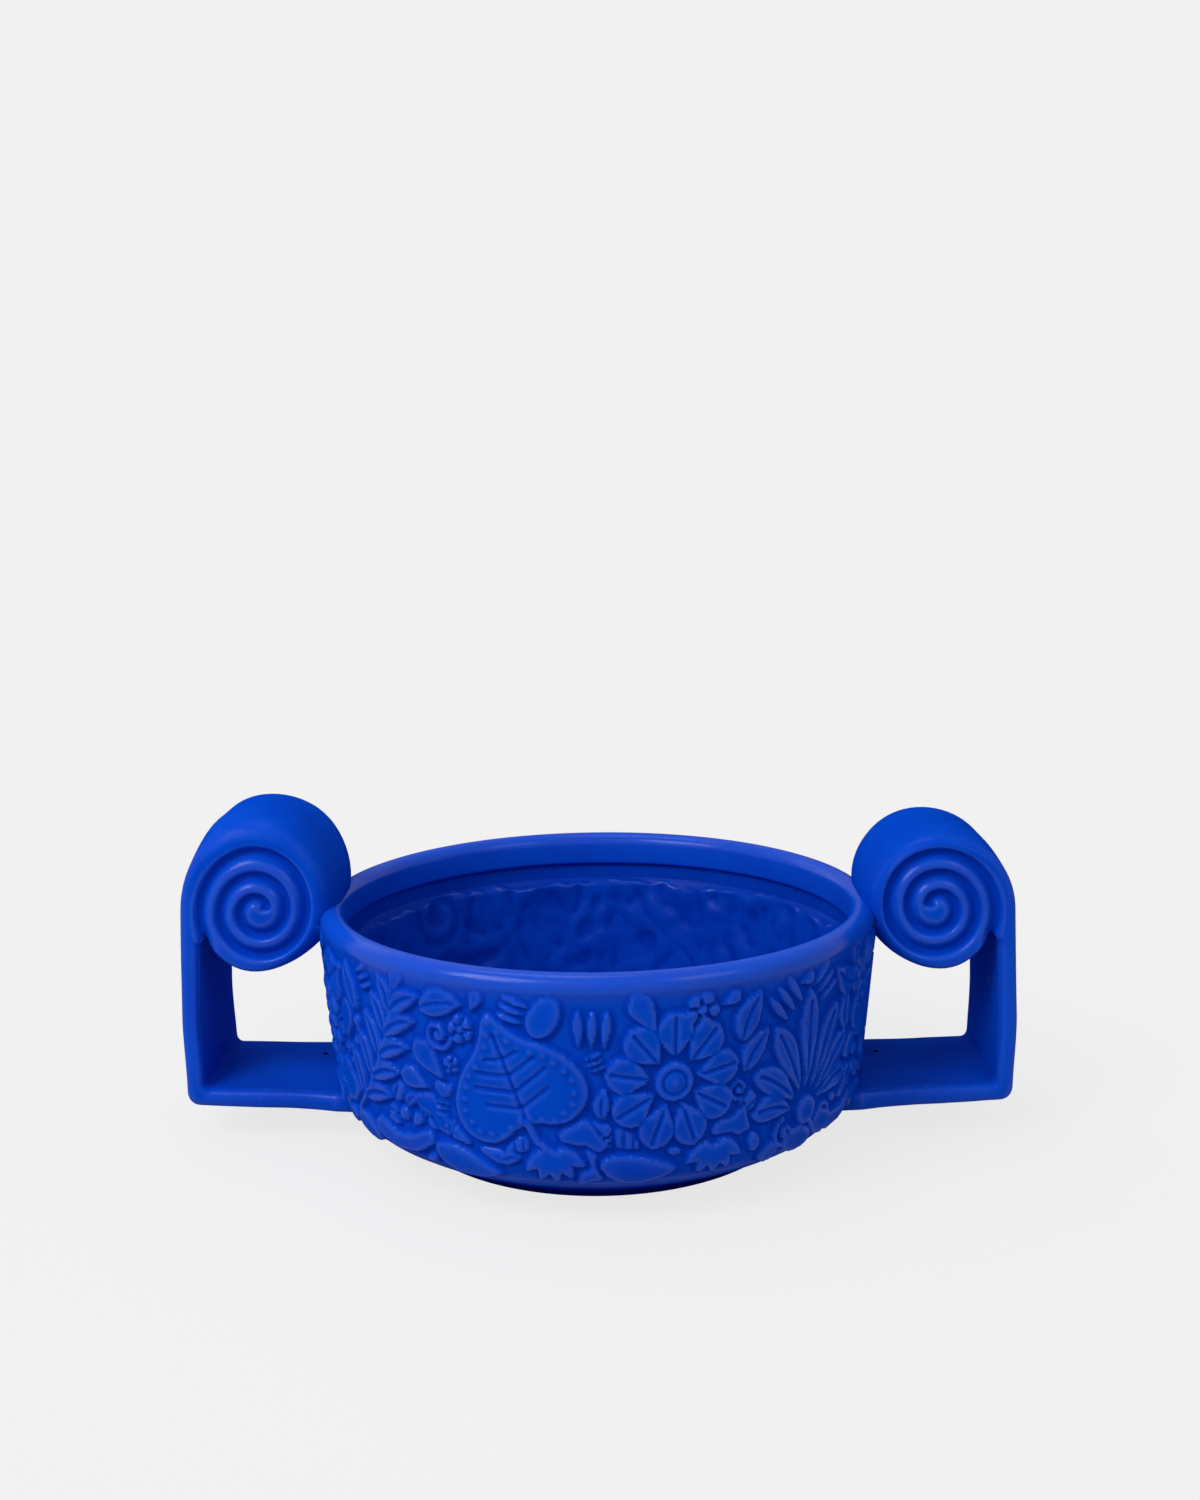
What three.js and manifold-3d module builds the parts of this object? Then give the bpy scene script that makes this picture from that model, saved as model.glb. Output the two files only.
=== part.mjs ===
// A terracotta bowl vase: a low round bowl with a relief frieze, a thick rolled rim and two strap
// handles that roll over into scrolls. Millimetres, +Z up. The origin is the centre of the foot's
// resting face, the handles lie along X, and the front is -Y.
//
// The clay pieces are formed apart and luted together with slip: wall, floor, foot ring, rim, two
// handles, and a wad of clay under each scroll where it meets the wall.
import * as THREE from 'three';
import { mergeVertices } from 'three/addons/utils/BufferGeometryUtils.js';
import Module from 'manifold-3d';

const wasm = await Module();
wasm.setup();

// Slip joints
const slipGap = 0.3;

// Bowl
const rimRadius = 150;
const bowlHeight = 121;
const rimThickness = 12.6;
const rimBand = 17;
const rimSkirt = 1.7;
const rimProud = 2.6;
const wallThickness = 7;
const wallTaper = 9.9;
const heelHeight = 20.7;
const heelRound = 23;
const recessDepth = 12;
const recessLedge = 2;
const floorThickness = 8;
const footInset = 47;
const footWidth = 15;
const footHeight = 3;
const footSeat = 2;
const footShadow = 1.5;
const seamOutOfFoot = 19;
const seamLap = 4;

// Frieze
const reliefHeight = 2.4;
const reliefFoot = 18;
const reliefClearOfRim = 0.8;
const motifField = 86;
const motifSpacing = 77;
const motifLevel = 0.57;
const heelPadCount = 22;
const heelPadLength = 33;
const heelPadWidth = 13;
const heelPadStagger = 3;

// Handles
const strapWidth = 77;
const strapThickness = 9.6;
const scrollReach = 28;
const scrollOuterRadius = 41.4;
const scrollPitch = 10.6;
const scrollTurnsInside = 2.5;
const creaseTurns = 0.93;
const grooveWidth = 6.2;
const grooveDepth = 3.4;
const grooveStretch = 0.35;
const grooveFadeSteps = 3;
const crownReach = 26;
const crownStartTurns = 0.11;
const shoulderTurns = 0.14;
const shoulderSpread = 0.08;
const innerShoulderTurns = 0.38;
const innerShoulderSpread = 0.07;
const armRootTop = 25.5;
const armRootThickness = 10.6;
const armCornerThickness = 8.8;
const armFlare = 3;
const armFlareLength = 40;
const cornerRound = 7;
const cornerLean = 2.8;
const leanHeight = 40;
const strapEdge = 3.2;
const ventDiameter = 2.7;
const ventReach = 6;
const ventBack = 17;
const castWall = 6;
const strapCoreThickness = 2.4;
const wadLength = 50;
const wadDrop = 9;
const wadEdge = 1;

// The two handles differ a little, as hand-finished pieces do.
const handles = [
  {
    name: 'left', side: -1, armCornerTop: 27.5,
    crownStretch: 0.3, crownDrop: 14, shoulder: 3, innerShoulder: 0.5,
  },
  {
    name: 'right', side: 1, armCornerTop: 29,
    crownStretch: 0.03, crownDrop: 7, shoulder: 1.8, innerShoulder: -1,
  },
];

// Facets
const roundSteps = 48;
const arcSteps = 3;
const edgeSteps = 2;
const coilSteps = 17;
const armStops = [0, 0.3, 0.45, 0.7];

const glaze = { color: 0x0b3fb5, roughness: 0.55, metalness: 0 };
const bisque = { color: 0x0a3394, roughness: 0.8, metalness: 0 };

// Solids and geometry

function solidOf(geometry) {
  const bare = geometry.index ? geometry.toNonIndexed() : geometry.clone();
  bare.deleteAttribute('normal');
  bare.deleteAttribute('uv');
  const merged = mergeVertices(bare, 1e-4);
  const vertProperties = new Float32Array(merged.attributes.position.array);
  const triVerts = new Uint32Array(merged.index.array);
  return new wasm.Manifold(new wasm.Mesh({ numProp: 3, vertProperties, triVerts }));
}

function geometryOf(solid) {
  const mesh = solid.getMesh();
  const geometry = new THREE.BufferGeometry();
  geometry.setAttribute('position', new THREE.BufferAttribute(new Float32Array(mesh.vertProperties), 3));
  geometry.setIndex(new THREE.BufferAttribute(new Uint32Array(mesh.triVerts), 1));
  const flat = geometry.toNonIndexed();
  flat.computeVertexNormals();
  return flat;
}

function union(solids) {
  return solids.reduce((whole, piece) => whole.add(piece));
}

// Twice the signed area of a closed outline, positive when it runs anticlockwise.
function windingOf(outline) {
  return outline.reduce((sum, p, i) => {
    const next = outline[(i + 1) % outline.length];
    return sum + p.x * next.y - next.x * p.y;
  }, 0);
}

// A ring or disc turned about Z from a closed section of (radius, height) points.
function turned(section) {
  const outline = windingOf(section) > 0 ? section.slice() : section.slice().reverse();
  const onAxis = outline.filter((p) => p.x === 0).length > 0;
  if (onAxis) {
    while (!(outline[0].x === 0 && outline[outline.length - 1].x === 0)) outline.push(outline.shift());
  } else {
    outline.push(outline[0].clone());
  }
  return new THREE.LatheGeometry(outline, roundSteps).rotateX(Math.PI / 2);
}

// Points of the arc that rounds the corner between two straight stretches.
function roundedCorner(before, corner, after, radius, steps = arcSteps) {
  const toBefore = before.clone().sub(corner).normalize();
  const toAfter = after.clone().sub(corner).normalize();
  const halfAngle = Math.acos(THREE.MathUtils.clamp(toBefore.dot(toAfter), -1, 1)) / 2;
  const reach = radius / Math.tan(halfAngle);
  const bisector = toBefore.clone().add(toAfter).normalize();
  const centre = corner.clone().addScaledVector(bisector, radius / Math.sin(halfAngle));
  const start = corner.clone().addScaledVector(toBefore, reach).sub(centre);
  const end = corner.clone().addScaledVector(toAfter, reach).sub(centre);
  const sweep = Math.atan2(start.cross(end), start.dot(end));
  return Array.from({ length: steps + 1 }, (_, i) =>
    start.clone().rotateAround(new THREE.Vector2(), (sweep * i) / steps).add(centre));
}

const point = (x, y) => new THREE.Vector2(x, y);

// A solid drawn for the +X side, turned half round where it belongs to the other side.
const placed = (h, geometry) => solidOf(h.side > 0 ? geometry : geometry.rotateZ(Math.PI));

// Bowl sections

const footRadius = rimRadius - footInset;
const seamRadius = footRadius + seamOutOfFoot;
const wallTopRadius = rimRadius - rimProud;
const wallTop = bowlHeight - rimBand - slipGap;
const heelCorner = point(wallTopRadius - wallTaper, heelHeight);
const underside = point(footRadius + footShadow, footHeight);
const wallLean = wallTaper / (wallTop - heelHeight);
const undersideSlope = (heelHeight - footHeight) / (heelCorner.x - underside.x);

const wallRadiusAt = (z) => heelCorner.x + (z - heelHeight) * wallLean;
const undersideAt = (r) => footHeight + (r - underside.x) * undersideSlope;
const innerWallAt = (z) => wallRadiusAt(z) - wallThickness * Math.hypot(1, wallLean);
const dishAt = (r) => undersideAt(r) + wallThickness * Math.hypot(1, undersideSlope);

// Where the inside of the dish and the inside of the wall would meet in a sharp corner.
function innerHeelCorner() {
  const r = (innerWallAt(0) + wallLean * dishAt(0)) / (1 - wallLean * undersideSlope);
  return point(r, dishAt(r));
}

const floorTop = footHeight + floorThickness;
const seamStep = (undersideAt(seamRadius + seamLap) + dishAt(seamRadius)) / 2;

// The outside of the bowl from the foot up to the rim, moved out by a distance.
function outerLine(offset = 0) {
  const shift = (p, nx, ny) => point(p.x + nx * offset, p.y + ny * offset);
  const wallTilt = Math.atan(wallLean);
  const baseTilt = Math.atan(undersideSlope);
  const low = shift(underside, Math.sin(baseTilt), -Math.cos(baseTilt));
  const high = shift(point(wallTopRadius, wallTop), Math.cos(wallTilt), -Math.sin(wallTilt));
  const bend = (baseTilt + Math.PI / 2 - wallTilt) / 2;
  const miter = offset / Math.cos((Math.PI / 2 - wallTilt - baseTilt) / 2);
  const corner = shift(heelCorner, 0, 0).add(point(Math.sin(bend), -Math.cos(bend)).multiplyScalar(miter));
  return [low, ...roundedCorner(low, corner, high, heelRound + offset), high];
}

function wallSection() {
  const [low, ...rest] = outerLine();
  const inner = innerHeelCorner();
  const recessRadius = wallTopRadius - wallThickness;
  const recessFoot = wallTop - recessDepth;
  const ledge = recessFoot - recessLedge;
  const foldIn = roundedCorner(point(innerWallAt(ledge), ledge), inner,
    point(seamRadius, dishAt(seamRadius)), heelRound - wallThickness);
  return [
    point(seamRadius, undersideAt(seamRadius)),
    ...rest,
    point(recessRadius, wallTop),
    point(recessRadius, recessFoot),
    point(innerWallAt(ledge), ledge),
    ...foldIn,
    point(seamRadius + seamLap, dishAt(seamRadius + seamLap)),
    point(seamRadius + seamLap, seamStep),
    point(seamRadius, seamStep),
  ];
}

function floorSection() {
  const edge = seamRadius - slipGap;
  const lip = edge + seamLap;
  const seat = footHeight + footSeat;
  const dishFoot = point(seamRadius - (dishAt(seamRadius) - floorTop) / undersideSlope, floorTop);
  return [
    point(0, footHeight),
    point(footRadius - footWidth - slipGap, footHeight),
    point(footRadius - footWidth - slipGap, seat),
    point(footRadius + slipGap, seat),
    point(footRadius + slipGap, footHeight),
    underside,
    point(edge, undersideAt(edge)),
    point(edge, seamStep + slipGap),
    point(lip, seamStep + slipGap),
    point(lip, dishAt(lip)),
    ...roundedCorner(point(lip, dishAt(lip)), dishFoot, point(0, floorTop), heelRound, 3),
    point(0, floorTop),
  ];
}

function footSection() {
  const top = footHeight + footSeat - slipGap;
  const inner = footRadius - footWidth;
  const eased = footShadow / 2;
  return [
    point(inner + eased, 0),
    point(footRadius - eased, 0),
    point(footRadius, eased),
    point(footRadius, top),
    point(inner, top),
    point(inner, eased),
  ];
}

// The rolled rim: a rounded band with a skirt that drops just inside the top of the wall.
function rimSection() {
  const roll = rimThickness / 2;
  const bottom = bowlHeight - rimBand;
  const skirt = wallTopRadius - wallThickness - slipGap;
  const innerRadius = rimRadius - rimThickness;
  const top = Array.from({ length: 7 }, (_, i) => {
    const turn = (Math.PI * i) / 6;
    return point(rimRadius - roll + roll * Math.cos(turn), bowlHeight - roll + roll * Math.sin(turn));
  });
  const innerFoot = point(innerRadius, bottom - rimSkirt);
  return [
    point(wallTopRadius, bottom),
    point(rimRadius - rimProud / 4, bottom + rimBand / 3),
    ...top,
    ...roundedCorner(point(innerRadius, bowlHeight - roll), innerFoot, point(skirt, innerFoot.y), 2, 2),
    point(skirt, bottom - rimSkirt),
    point(skirt, bottom),
  ];
}

// A solid of everything inside the bowl's outside faces, grown by the slip gap, to trim what meets it.
function bowlEnvelope() {
  const roll = rimThickness / 2;
  const crest = bowlHeight + slipGap;
  const line = outerLine(slipGap);
  const grown = roll + slipGap;
  const shoulder = Array.from({ length: 4 }, (_, i) => {
    const turn = (Math.PI * i) / 6;
    return point(rimRadius - roll + grown * Math.cos(turn), bowlHeight - roll + grown * Math.sin(turn));
  });
  return solidOf(turned([
    point(0, line[0].y), ...line,
    point(wallTopRadius + slipGap, bowlHeight - rimBand),
    point(rimRadius - rimProud / 4 + slipGap, bowlHeight - rimBand * (2 / 3)),
    ...shoulder, point(0, crest),
  ]));
}

const bowlCutter = bowlEnvelope();

// Handles, drawn for the side on +X as (distance from the bowl's axis, height)

// The scroll's eye is level with the rim's crest.
const eye = point(rimRadius + scrollReach, bowlHeight);
const uprightOuter = eye.x + scrollOuterRadius;
const uprightInner = uprightOuter - strapThickness;
const creaseTurn = 2 * Math.PI * creaseTurns;
const coilGap = scrollPitch - strapThickness;

const coilRadiusAt = (turn) => scrollOuterRadius - (scrollPitch * turn) / (2 * Math.PI);

// A point on a coil's line, with the upper half drawn up by the stretch.
function coilPoint(turn, radius, stretch) {
  const lift = Math.sin(turn) > 0 ? 1 + stretch : 1;
  return point(eye.x + radius * Math.cos(turn), eye.y + radius * Math.sin(turn) * lift);
}

// A point on the outermost coil, filled out at its two shoulders.
function crownPoint(h, turn) {
  const swell = (amount, place, spread) =>
    amount * Math.exp(-(((turn / (2 * Math.PI) - place) / spread) ** 2));
  const radius = coilRadiusAt(turn) + swell(h.shoulder, shoulderTurns, shoulderSpread)
    + swell(h.innerShoulder, innerShoulderTurns, innerShoulderSpread);
  return coilPoint(turn, radius, h.crownStretch);
}

// How far the crown's doming has set in at a turn: little on the strap, full over the top.
const crownShare = (turn) =>
  THREE.MathUtils.smoothstep(Math.sin(turn / 2 + Math.PI * crownStartTurns), 0.2, 0.8);

const armStart = wallTopRadius - wallTaper - heelRound;
const armTopAt = (h, x) => THREE.MathUtils.mapLinear(x, armStart, uprightOuter, armRootTop, h.armCornerTop);
const armUndersideAt = (h, x) => THREE.MathUtils.mapLinear(x, armStart, uprightOuter,
  armRootTop - armRootThickness, h.armCornerTop - armCornerThickness);

// The arm widens a little where it meets the bowl.
function strapHalfWidth(x) {
  const away = THREE.MathUtils.clamp((x - heelCorner.x) / armFlareLength, 0, 1);
  return strapWidth / 2 + armFlare * (1 - away) ** 3;
}

// The side outline of strap and scroll, anticlockwise, with each point's half width and how far its edge
// drops and how far in from the end it starts to.
function handleOutline(h) {
  const strap = (p) => ({ p, drop: strapEdge, reach: strapEdge, half: strapHalfWidth(p.x) });
  const along = armStops.map((t) => THREE.MathUtils.lerp(armStart, uprightInner, t));
  const outerFoot = point(uprightOuter - cornerLean, armUndersideAt(h, uprightOuter));
  const innerFoot = point(uprightInner - cornerLean, armTopAt(h, uprightInner));
  const leanTop = h.armCornerTop + leanHeight;
  const steps = Math.round(coilSteps * creaseTurns);
  const coil = Array.from({ length: steps + 1 }, (_, i) => {
    const turn = (creaseTurn * i) / steps;
    const drop = THREE.MathUtils.lerp(strapEdge, h.crownDrop, crownShare(turn));
    const reach = THREE.MathUtils.lerp(strapEdge, crownReach, crownShare(turn));
    return { p: crownPoint(h, turn), drop, reach, half: strapWidth / 2 };
  });
  return [
    ...along.map((x) => strap(point(x, armUndersideAt(h, x)))),
    ...roundedCorner(point(armStart, armUndersideAt(h, armStart)), outerFoot,
      point(uprightOuter, leanTop), cornerRound).map(strap),
    strap(point(uprightOuter, leanTop)),
    ...coil,
    strap(point(uprightInner, coil[steps].p.y - coilGap - strapEdge)),
    strap(point(uprightInner, leanTop)),
    ...roundedCorner(point(uprightInner, leanTop), innerFoot,
      point(armStart, armTopAt(h, armStart)), strapEdge, 2).map(strap),
    ...along.reverse().map((x) => strap(point(x, armTopAt(h, x)))),
  ];
}

// A slab across Y whose side outline is drawn in round both ends by each point's own drop and reach.
function slab(outline, grow = 0) {
  const count = outline.length;
  const outward = outline.map(({ p }, i) => {
    const before = p.clone().sub(outline[(i + count - 1) % count].p).normalize();
    const after = outline[(i + 1) % count].p.clone().sub(p).normalize();
    const n1 = point(before.y, -before.x);
    const n2 = point(after.y, -after.x);
    return n1.clone().add(n2).divideScalar(Math.max(1 + n1.dot(n2), 0.5));
  });
  const turns = [];
  for (let k = edgeSteps; k >= 0; k -= 1) turns.push([-1, (k * Math.PI) / 2 / edgeSteps]);
  for (let k = 0; k <= edgeSteps; k += 1) turns.push([1, (k * Math.PI) / 2 / edgeSteps]);
  const positions = [];
  const rings = turns.map(([sign, turn]) => outline.map(({ p, drop, reach, half }, i) => {
    const shift = grow - drop * (1 - Math.cos(turn));
    const y = sign * (half + grow - reach * (1 - Math.sin(turn)));
    const q = p.clone().addScaledVector(outward[i], shift);
    positions.push(q.x, y, q.y);
    return q;
  }));
  const index = [];
  for (let j = 0; j < rings.length - 1; j += 1) {
    for (let i = 0; i < count; i += 1) {
      const [a, b] = [j * count + i, j * count + ((i + 1) % count)];
      index.push(a, b + count, b, a, a + count, b + count);
    }
  }
  const last = (rings.length - 1) * count;
  THREE.ShapeUtils.triangulateShape(rings[0], []).forEach(([a, b, c]) => index.push(a, b, c));
  THREE.ShapeUtils.triangulateShape(rings[rings.length - 1], []).forEach(([a, b, c]) =>
    index.push(last + a, last + c, last + b));
  const geometry = new THREE.BufferGeometry();
  geometry.setAttribute('position', new THREE.BufferAttribute(new Float32Array(positions), 3));
  geometry.setIndex(index);
  return geometry;
}

// The groove between the coils on one face of the scroll, as a body to cut away.
function scrollGroove(h, face) {
  const section = [[-0.62, 0.4], [0.5, 0.4], [0.1, -1]];
  const first = creaseTurn;
  const sweep = 2 * Math.PI * (1 + scrollTurnsInside) - first;
  const steps = Math.round((coilSteps * sweep) / (2 * Math.PI));
  const positions = [];
  for (let i = 0; i <= steps; i += 1) {
    const turn = first + (sweep * i) / steps;
    const fade = (1 - i / steps) * Math.min(i / grooveFadeSteps, 1);
    section.forEach(([across, deep]) => {
      const radius = coilRadiusAt(turn) + coilGap / 2 + across * grooveWidth;
      const p = coilPoint(turn, radius, h.crownStretch * grooveStretch * fade);
      positions.push(p.x, face * (strapWidth / 2 + deep * grooveDepth), p.y);
    });
  }
  const count = section.length;
  const index = [];
  const facet = (a, b, c) => index.push(...(face < 0 ? [a, b, c] : [a, c, b]));
  for (let j = 0; j < steps; j += 1) {
    for (let i = 0; i < count; i += 1) {
      const [a, b] = [j * count + i, j * count + ((i + 1) % count)];
      facet(a, b, b + count);
      facet(a, b + count, a + count);
    }
  }
  const last = steps * count;
  for (let i = 1; i < count - 1; i += 1) {
    facet(0, i + 1, i);
    facet(last, last + i, last + i + 1);
  }
  const geometry = new THREE.BufferGeometry();
  geometry.setAttribute('position', new THREE.BufferAttribute(new Float32Array(positions), 3));
  geometry.setIndex(index);
  return geometry;
}

// A straight-sided body across Y from a side outline.
function prismAcross(outline, halfLength) {
  return slab(outline.map((p) => ({ p, drop: 0.01, reach: 0.01, half: halfLength })));
}

// The hollow left by casting: a flat slot through arm and upright that opens into the scroll.
function castHollow(h) {
  const halfLength = strapWidth / 2 - castWall;
  const t = strapCoreThickness / 2;
  const middle = (x) => (armTopAt(h, x) + armUndersideAt(h, x)) / 2;
  const start = wallTopRadius + ventReach / 2;
  const end = (uprightOuter + uprightInner) / 2;
  const low = end - cornerLean;
  const leanTop = h.armCornerTop + leanHeight;
  const drumRadius = coilRadiusAt(Math.PI * 1.5) - castWall;
  const path = [
    point(start, middle(start) - t), point(low + t, middle(low) - t), point(end + t, leanTop),
    point(end + t, eye.y + t), point(eye.x, eye.y + t), point(eye.x, eye.y - t),
    point(end - t, eye.y - t), point(end - t, leanTop), point(low - t, middle(low) + t),
    point(start, middle(start) + t),
  ];
  const drum = new THREE.CylinderGeometry(drumRadius, drumRadius, 2 * halfLength, 24)
    .translate(eye.x, 0, eye.y);
  return placed(h, prismAcross(path, halfLength)).add(placed(h, drum));
}

function vent(h) {
  const x = wallTopRadius + ventReach;
  const depth = armRootThickness / 2 + strapEdge;
  const middle = (armTopAt(h, x) + armUndersideAt(h, x)) / 2;
  return placed(h, new THREE.CylinderGeometry(ventDiameter / 2, ventDiameter / 2, depth, 12)
    .rotateX(Math.PI / 2).translate(x, h.side * ventBack, middle + depth / 2));
}

// The wad that fills the crevice between the scroll's underside and the wall, hollowed below.
function wadOutline() {
  const top = wallTop - wadEdge * 4;
  const tipTurn = Math.PI * 1.3;
  const tip = coilPoint(tipTurn, coilRadiusAt(tipTurn) - wadEdge, 0);
  const foot = point(wallRadiusAt(tip.y) + wadEdge, tip.y - wadDrop);
  const inside = foot.x - 4 * wadEdge;
  const between = (across, up) =>
    point(THREE.MathUtils.lerp(foot.x, tip.x, across), THREE.MathUtils.lerp(foot.y, tip.y, up));
  return [
    point(inside, foot.y), foot, between(0.24, 0.5), between(0.58, 0.84), tip,
    point(tip.x, top), point(inside, top),
  ].map((p) => ({ p, drop: wadEdge, reach: wadEdge, half: wadLength / 2 }));
}

function handleSolid(h) {
  const grooves = [-1, 1].map((face) => placed(h, scrollGroove(h, face)));
  return placed(h, slab(handleOutline(h)))
    .subtract(union([...grooves, castHollow(h), vent(h), bowlCutter]));
}

function wadSolid(h) {
  return placed(h, slab(wadOutline()))
    .subtract(placed(h, slab(handleOutline(h), slipGap)).add(bowlCutter));
}

// Frieze motifs as flat outlines of (distance along the wall, height), drawn on a field of
// motifSpacing by motifField about their middle

const alongFrom = (base, lean, reach) =>
  point(base.x + reach * Math.sin(lean), base.y + reach * Math.cos(lean));

function petal(base, lean, start, length, width, tipWidth = 0.7) {
  const stops = [[0, 0.4], [0.55, 1], [0.88, tipWidth]];
  const side = (sign) => stops.map(([t, w]) =>
    alongFrom(alongFrom(base, lean, start + t * length), lean + Math.PI / 2, (sign * w * width) / 2));
  return [...side(1), alongFrom(base, lean, start + length), ...side(-1).reverse()];
}

function leaf(x0, y0, x1, y1, width) {
  return petal(point(x0, y0), Math.atan2(x1 - x0, y1 - y0), 0, Math.hypot(x1 - x0, y1 - y0), width);
}

function disc(x, y, radius, corners = 8) {
  return Array.from({ length: corners }, (_, i) =>
    alongFrom(point(x, y), (-2 * Math.PI * (i + 0.5)) / corners, radius));
}

const outlineOf = (pairs) => pairs.map(([x, y]) => point(x, y));

function heart(x, y, degrees, size) {
  return outlineOf([
    [0, 18], [4, 10], [12, 3], [16, -4], [14, -11], [8, -14], [0, -10],
    [-8, -14], [-14, -11], [-16, -4], [-12, 3], [-4, 10],
  ]).map((p) => p.multiplyScalar(size).rotateAround(point(0, 0), THREE.MathUtils.degToRad(degrees))
    .add(point(x, y)));
}

function fan(root, spread, count, start, reachAt, width) {
  return Array.from({ length: count }, (_, k) => {
    const lean = THREE.MathUtils.degToRad(spread * (k / (count - 1) - 0.5));
    return petal(root, lean, start, reachAt(Math.abs(lean)) - start, width);
  });
}

const motifs = {
  rosette: () => [
    disc(0, 0, 7),
    ...Array.from({ length: 9 }, (_, k) => petal(point(0, 0), (2 * Math.PI * k) / 9, 9, 16, 13)),
  ],
  palmette: () => [
    disc(0, -24, 6), disc(-13, -30, 7), disc(13, -30, 7),
    ...fan(point(0, -24), 156, 7, 9, (lean) => 50 - 13.5 * lean, 11),
  ],
  fish: () => [
    leaf(22, 0, -26, 0, 27), leaf(17, 1, 32, 13, 11), leaf(17, 0, 32, -12, 11), leaf(-8, 13, 14, 15, 9),
  ],
  lotus: () => [
    outlineOf([[-13, -24], [13, -24], [8, -15], [-8, -15]]), disc(-23, -35, 5), disc(23, -35, 5),
    ...fan(point(0, -22), 124, 5, 5.5, (lean) => 54 - 16.5 * lean, 13),
  ],
  medallion: () => [disc(0, 0, 28, 18)],
  ivy: () => [
    heart(-15, 11, 32, 1), heart(17, -13, -150, 1.05), heart(-1, 30, -20, 0.55), heart(-24, -34, 150, 0.5),
  ],
  jug: () => [outlineOf([
    [-9, 22], [9, 22], [5, 12], [14, 3], [14, -6], [5, -23], [9, -28], [-9, -28], [-5, -23], [-14, -6],
    [-14, 3], [-5, 12],
  ]), leaf(4, 18, 18, 8, 4), leaf(-4, 18, -18, 8, 4)],
  wave: () => [
    disc(2, 8, 19, 14), leaf(4, -10, -29, -14, 9), leaf(-29, -24, 26, -18, 6), disc(25, 19, 4.6, 6),
    leaf(-26, 6, -20, 28, 9),
  ],
  shell: () => [
    outlineOf([[0, -28], [13, -24], [30, 2], [26, 9], [18, 17], [9, 22], [0, 24], [-9, 22], [-18, 17],
      [-26, 9], [-30, 2], [-13, -24]]),
  ],
  grapes: () => [
    outlineOf([[-9, 13], [9, 13], [17, 9], [14, -1], [8, -11], [0, -19], [-8, -11], [-17, -5], [-18, 10]]),
    heart(-14, 24, 60, 0.72), heart(19, 22, -55, 0.66),
  ],
  laurel: () => [
    leaf(-21, -34, 6, 33, 4),
    ...[[-14, -24], [-7, -11], [0, 2], [4, 16]].flatMap(([x, y], k) => [
      leaf(x, y, x + 20 - k, y + 9 + k, 9), leaf(x, y, x - 12 + k, y + 18 - k, 8.5)]),
  ],
  heart: () => [heart(0, 0, 0, 1)],
};

// One motif at each station, with its shift along the wall, its turn in degrees and its size.
const friezeOrder = [
  ['rosette', 0, 0, 1.22], ['palmette', 1, 3, 1.16], ['fish', 0, -16, 1.3], ['lotus', 0, 2, 1.14],
  ['medallion', -2, 0, 1.14], ['ivy', 0, 2, 1.22], ['jug', 2, 7, 1.36], ['wave', -2, 0, 1.24],
  ['shell', 0, 4, 1.2], ['grapes', 1, -4, 1.26], ['laurel', 0, -8, 1.22], ['heart', 0, 24, 1.9],
];

// A flat outline pushed out through the wall along the radius at an angle round the bowl.
function stamp(outline, angle, height) {
  const shape = new THREE.Shape(outline);
  const radial = new THREE.Vector3(Math.cos(angle), Math.sin(angle), 0);
  const tangent = new THREE.Vector3(-Math.sin(angle), Math.cos(angle), 0);
  const frame = new THREE.Matrix4().makeBasis(tangent, new THREE.Vector3(0, 0, 1), radial)
    .setPosition(radial.clone().multiplyScalar(rimRadius / 2).setZ(height));
  const geometry = new THREE.ExtrudeGeometry(shape, { depth: rimRadius, bevelEnabled: false });
  return solidOf(geometry.applyMatrix4(frame));
}

// The skin that the motifs stand up in, from the heel to just under the rim.
function reliefSkin() {
  const outer = outerLine(reliefHeight);
  const inner = outerLine(-wallThickness / 3);
  const top = wallTop - reliefClearOfRim;
  const cut = (line) => line.filter((p) => p.y < top - 1 && p.y > reliefFoot - 4);
  const [outerCut, innerCut] = [cut(outer), cut(inner)];
  return solidOf(turned([
    ...outerCut, point(wallRadiusAt(top) + reliefHeight, top),
    point(wallRadiusAt(top) - wallThickness / 3, top), ...innerCut.reverse(),
  ]));
}

function frieze() {
  const middle = THREE.MathUtils.lerp(reliefFoot, wallTop, motifLevel);
  const spacing = (2 * Math.PI) / friezeOrder.length;
  const fit = Math.min((spacing * wallTopRadius) / motifSpacing, (wallTop - reliefFoot) / motifField);
  const stamps = friezeOrder.flatMap(([name, shift, turn, size], i) => {
    const angle = (i + 0.5) * spacing - Math.PI / 2 + (fit * shift) / wallTopRadius;
    return motifs[name]().map((outline) => stamp(outline.map((p) => p.multiplyScalar(fit * size)
      .rotateAround(point(0, 0), THREE.MathUtils.degToRad(turn))), angle, middle));
  });
  const pads = Array.from({ length: heelPadCount }, (_, k) => {
    const half = (fit * heelPadLength) / 2;
    const height = reliefFoot + heelPadWidth / 2 + heelPadStagger * (0.5 + 0.5 * Math.sin(2.4 * k));
    const angle = ((k + 0.5) * 2 * Math.PI) / heelPadCount - Math.PI / 2;
    return stamp(leaf(-half, 0, half, 0, heelPadWidth), angle, height);
  });
  return union([...stamps, ...pads]).intersect(reliefSkin());
}

const handleClearance = union(handles.flatMap((h) => [
  placed(h, slab(handleOutline(h), slipGap)),
  placed(h, slab(wadOutline(), slipGap)),
]));

const wall = solidOf(turned(wallSection())).add(frieze().subtract(handleClearance));

const clay = (name, solid, finish) => {
  const mesh = new THREE.Mesh(geometryOf(solid), new THREE.MeshStandardMaterial(finish));
  mesh.name = name;
  return mesh;
};

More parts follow.
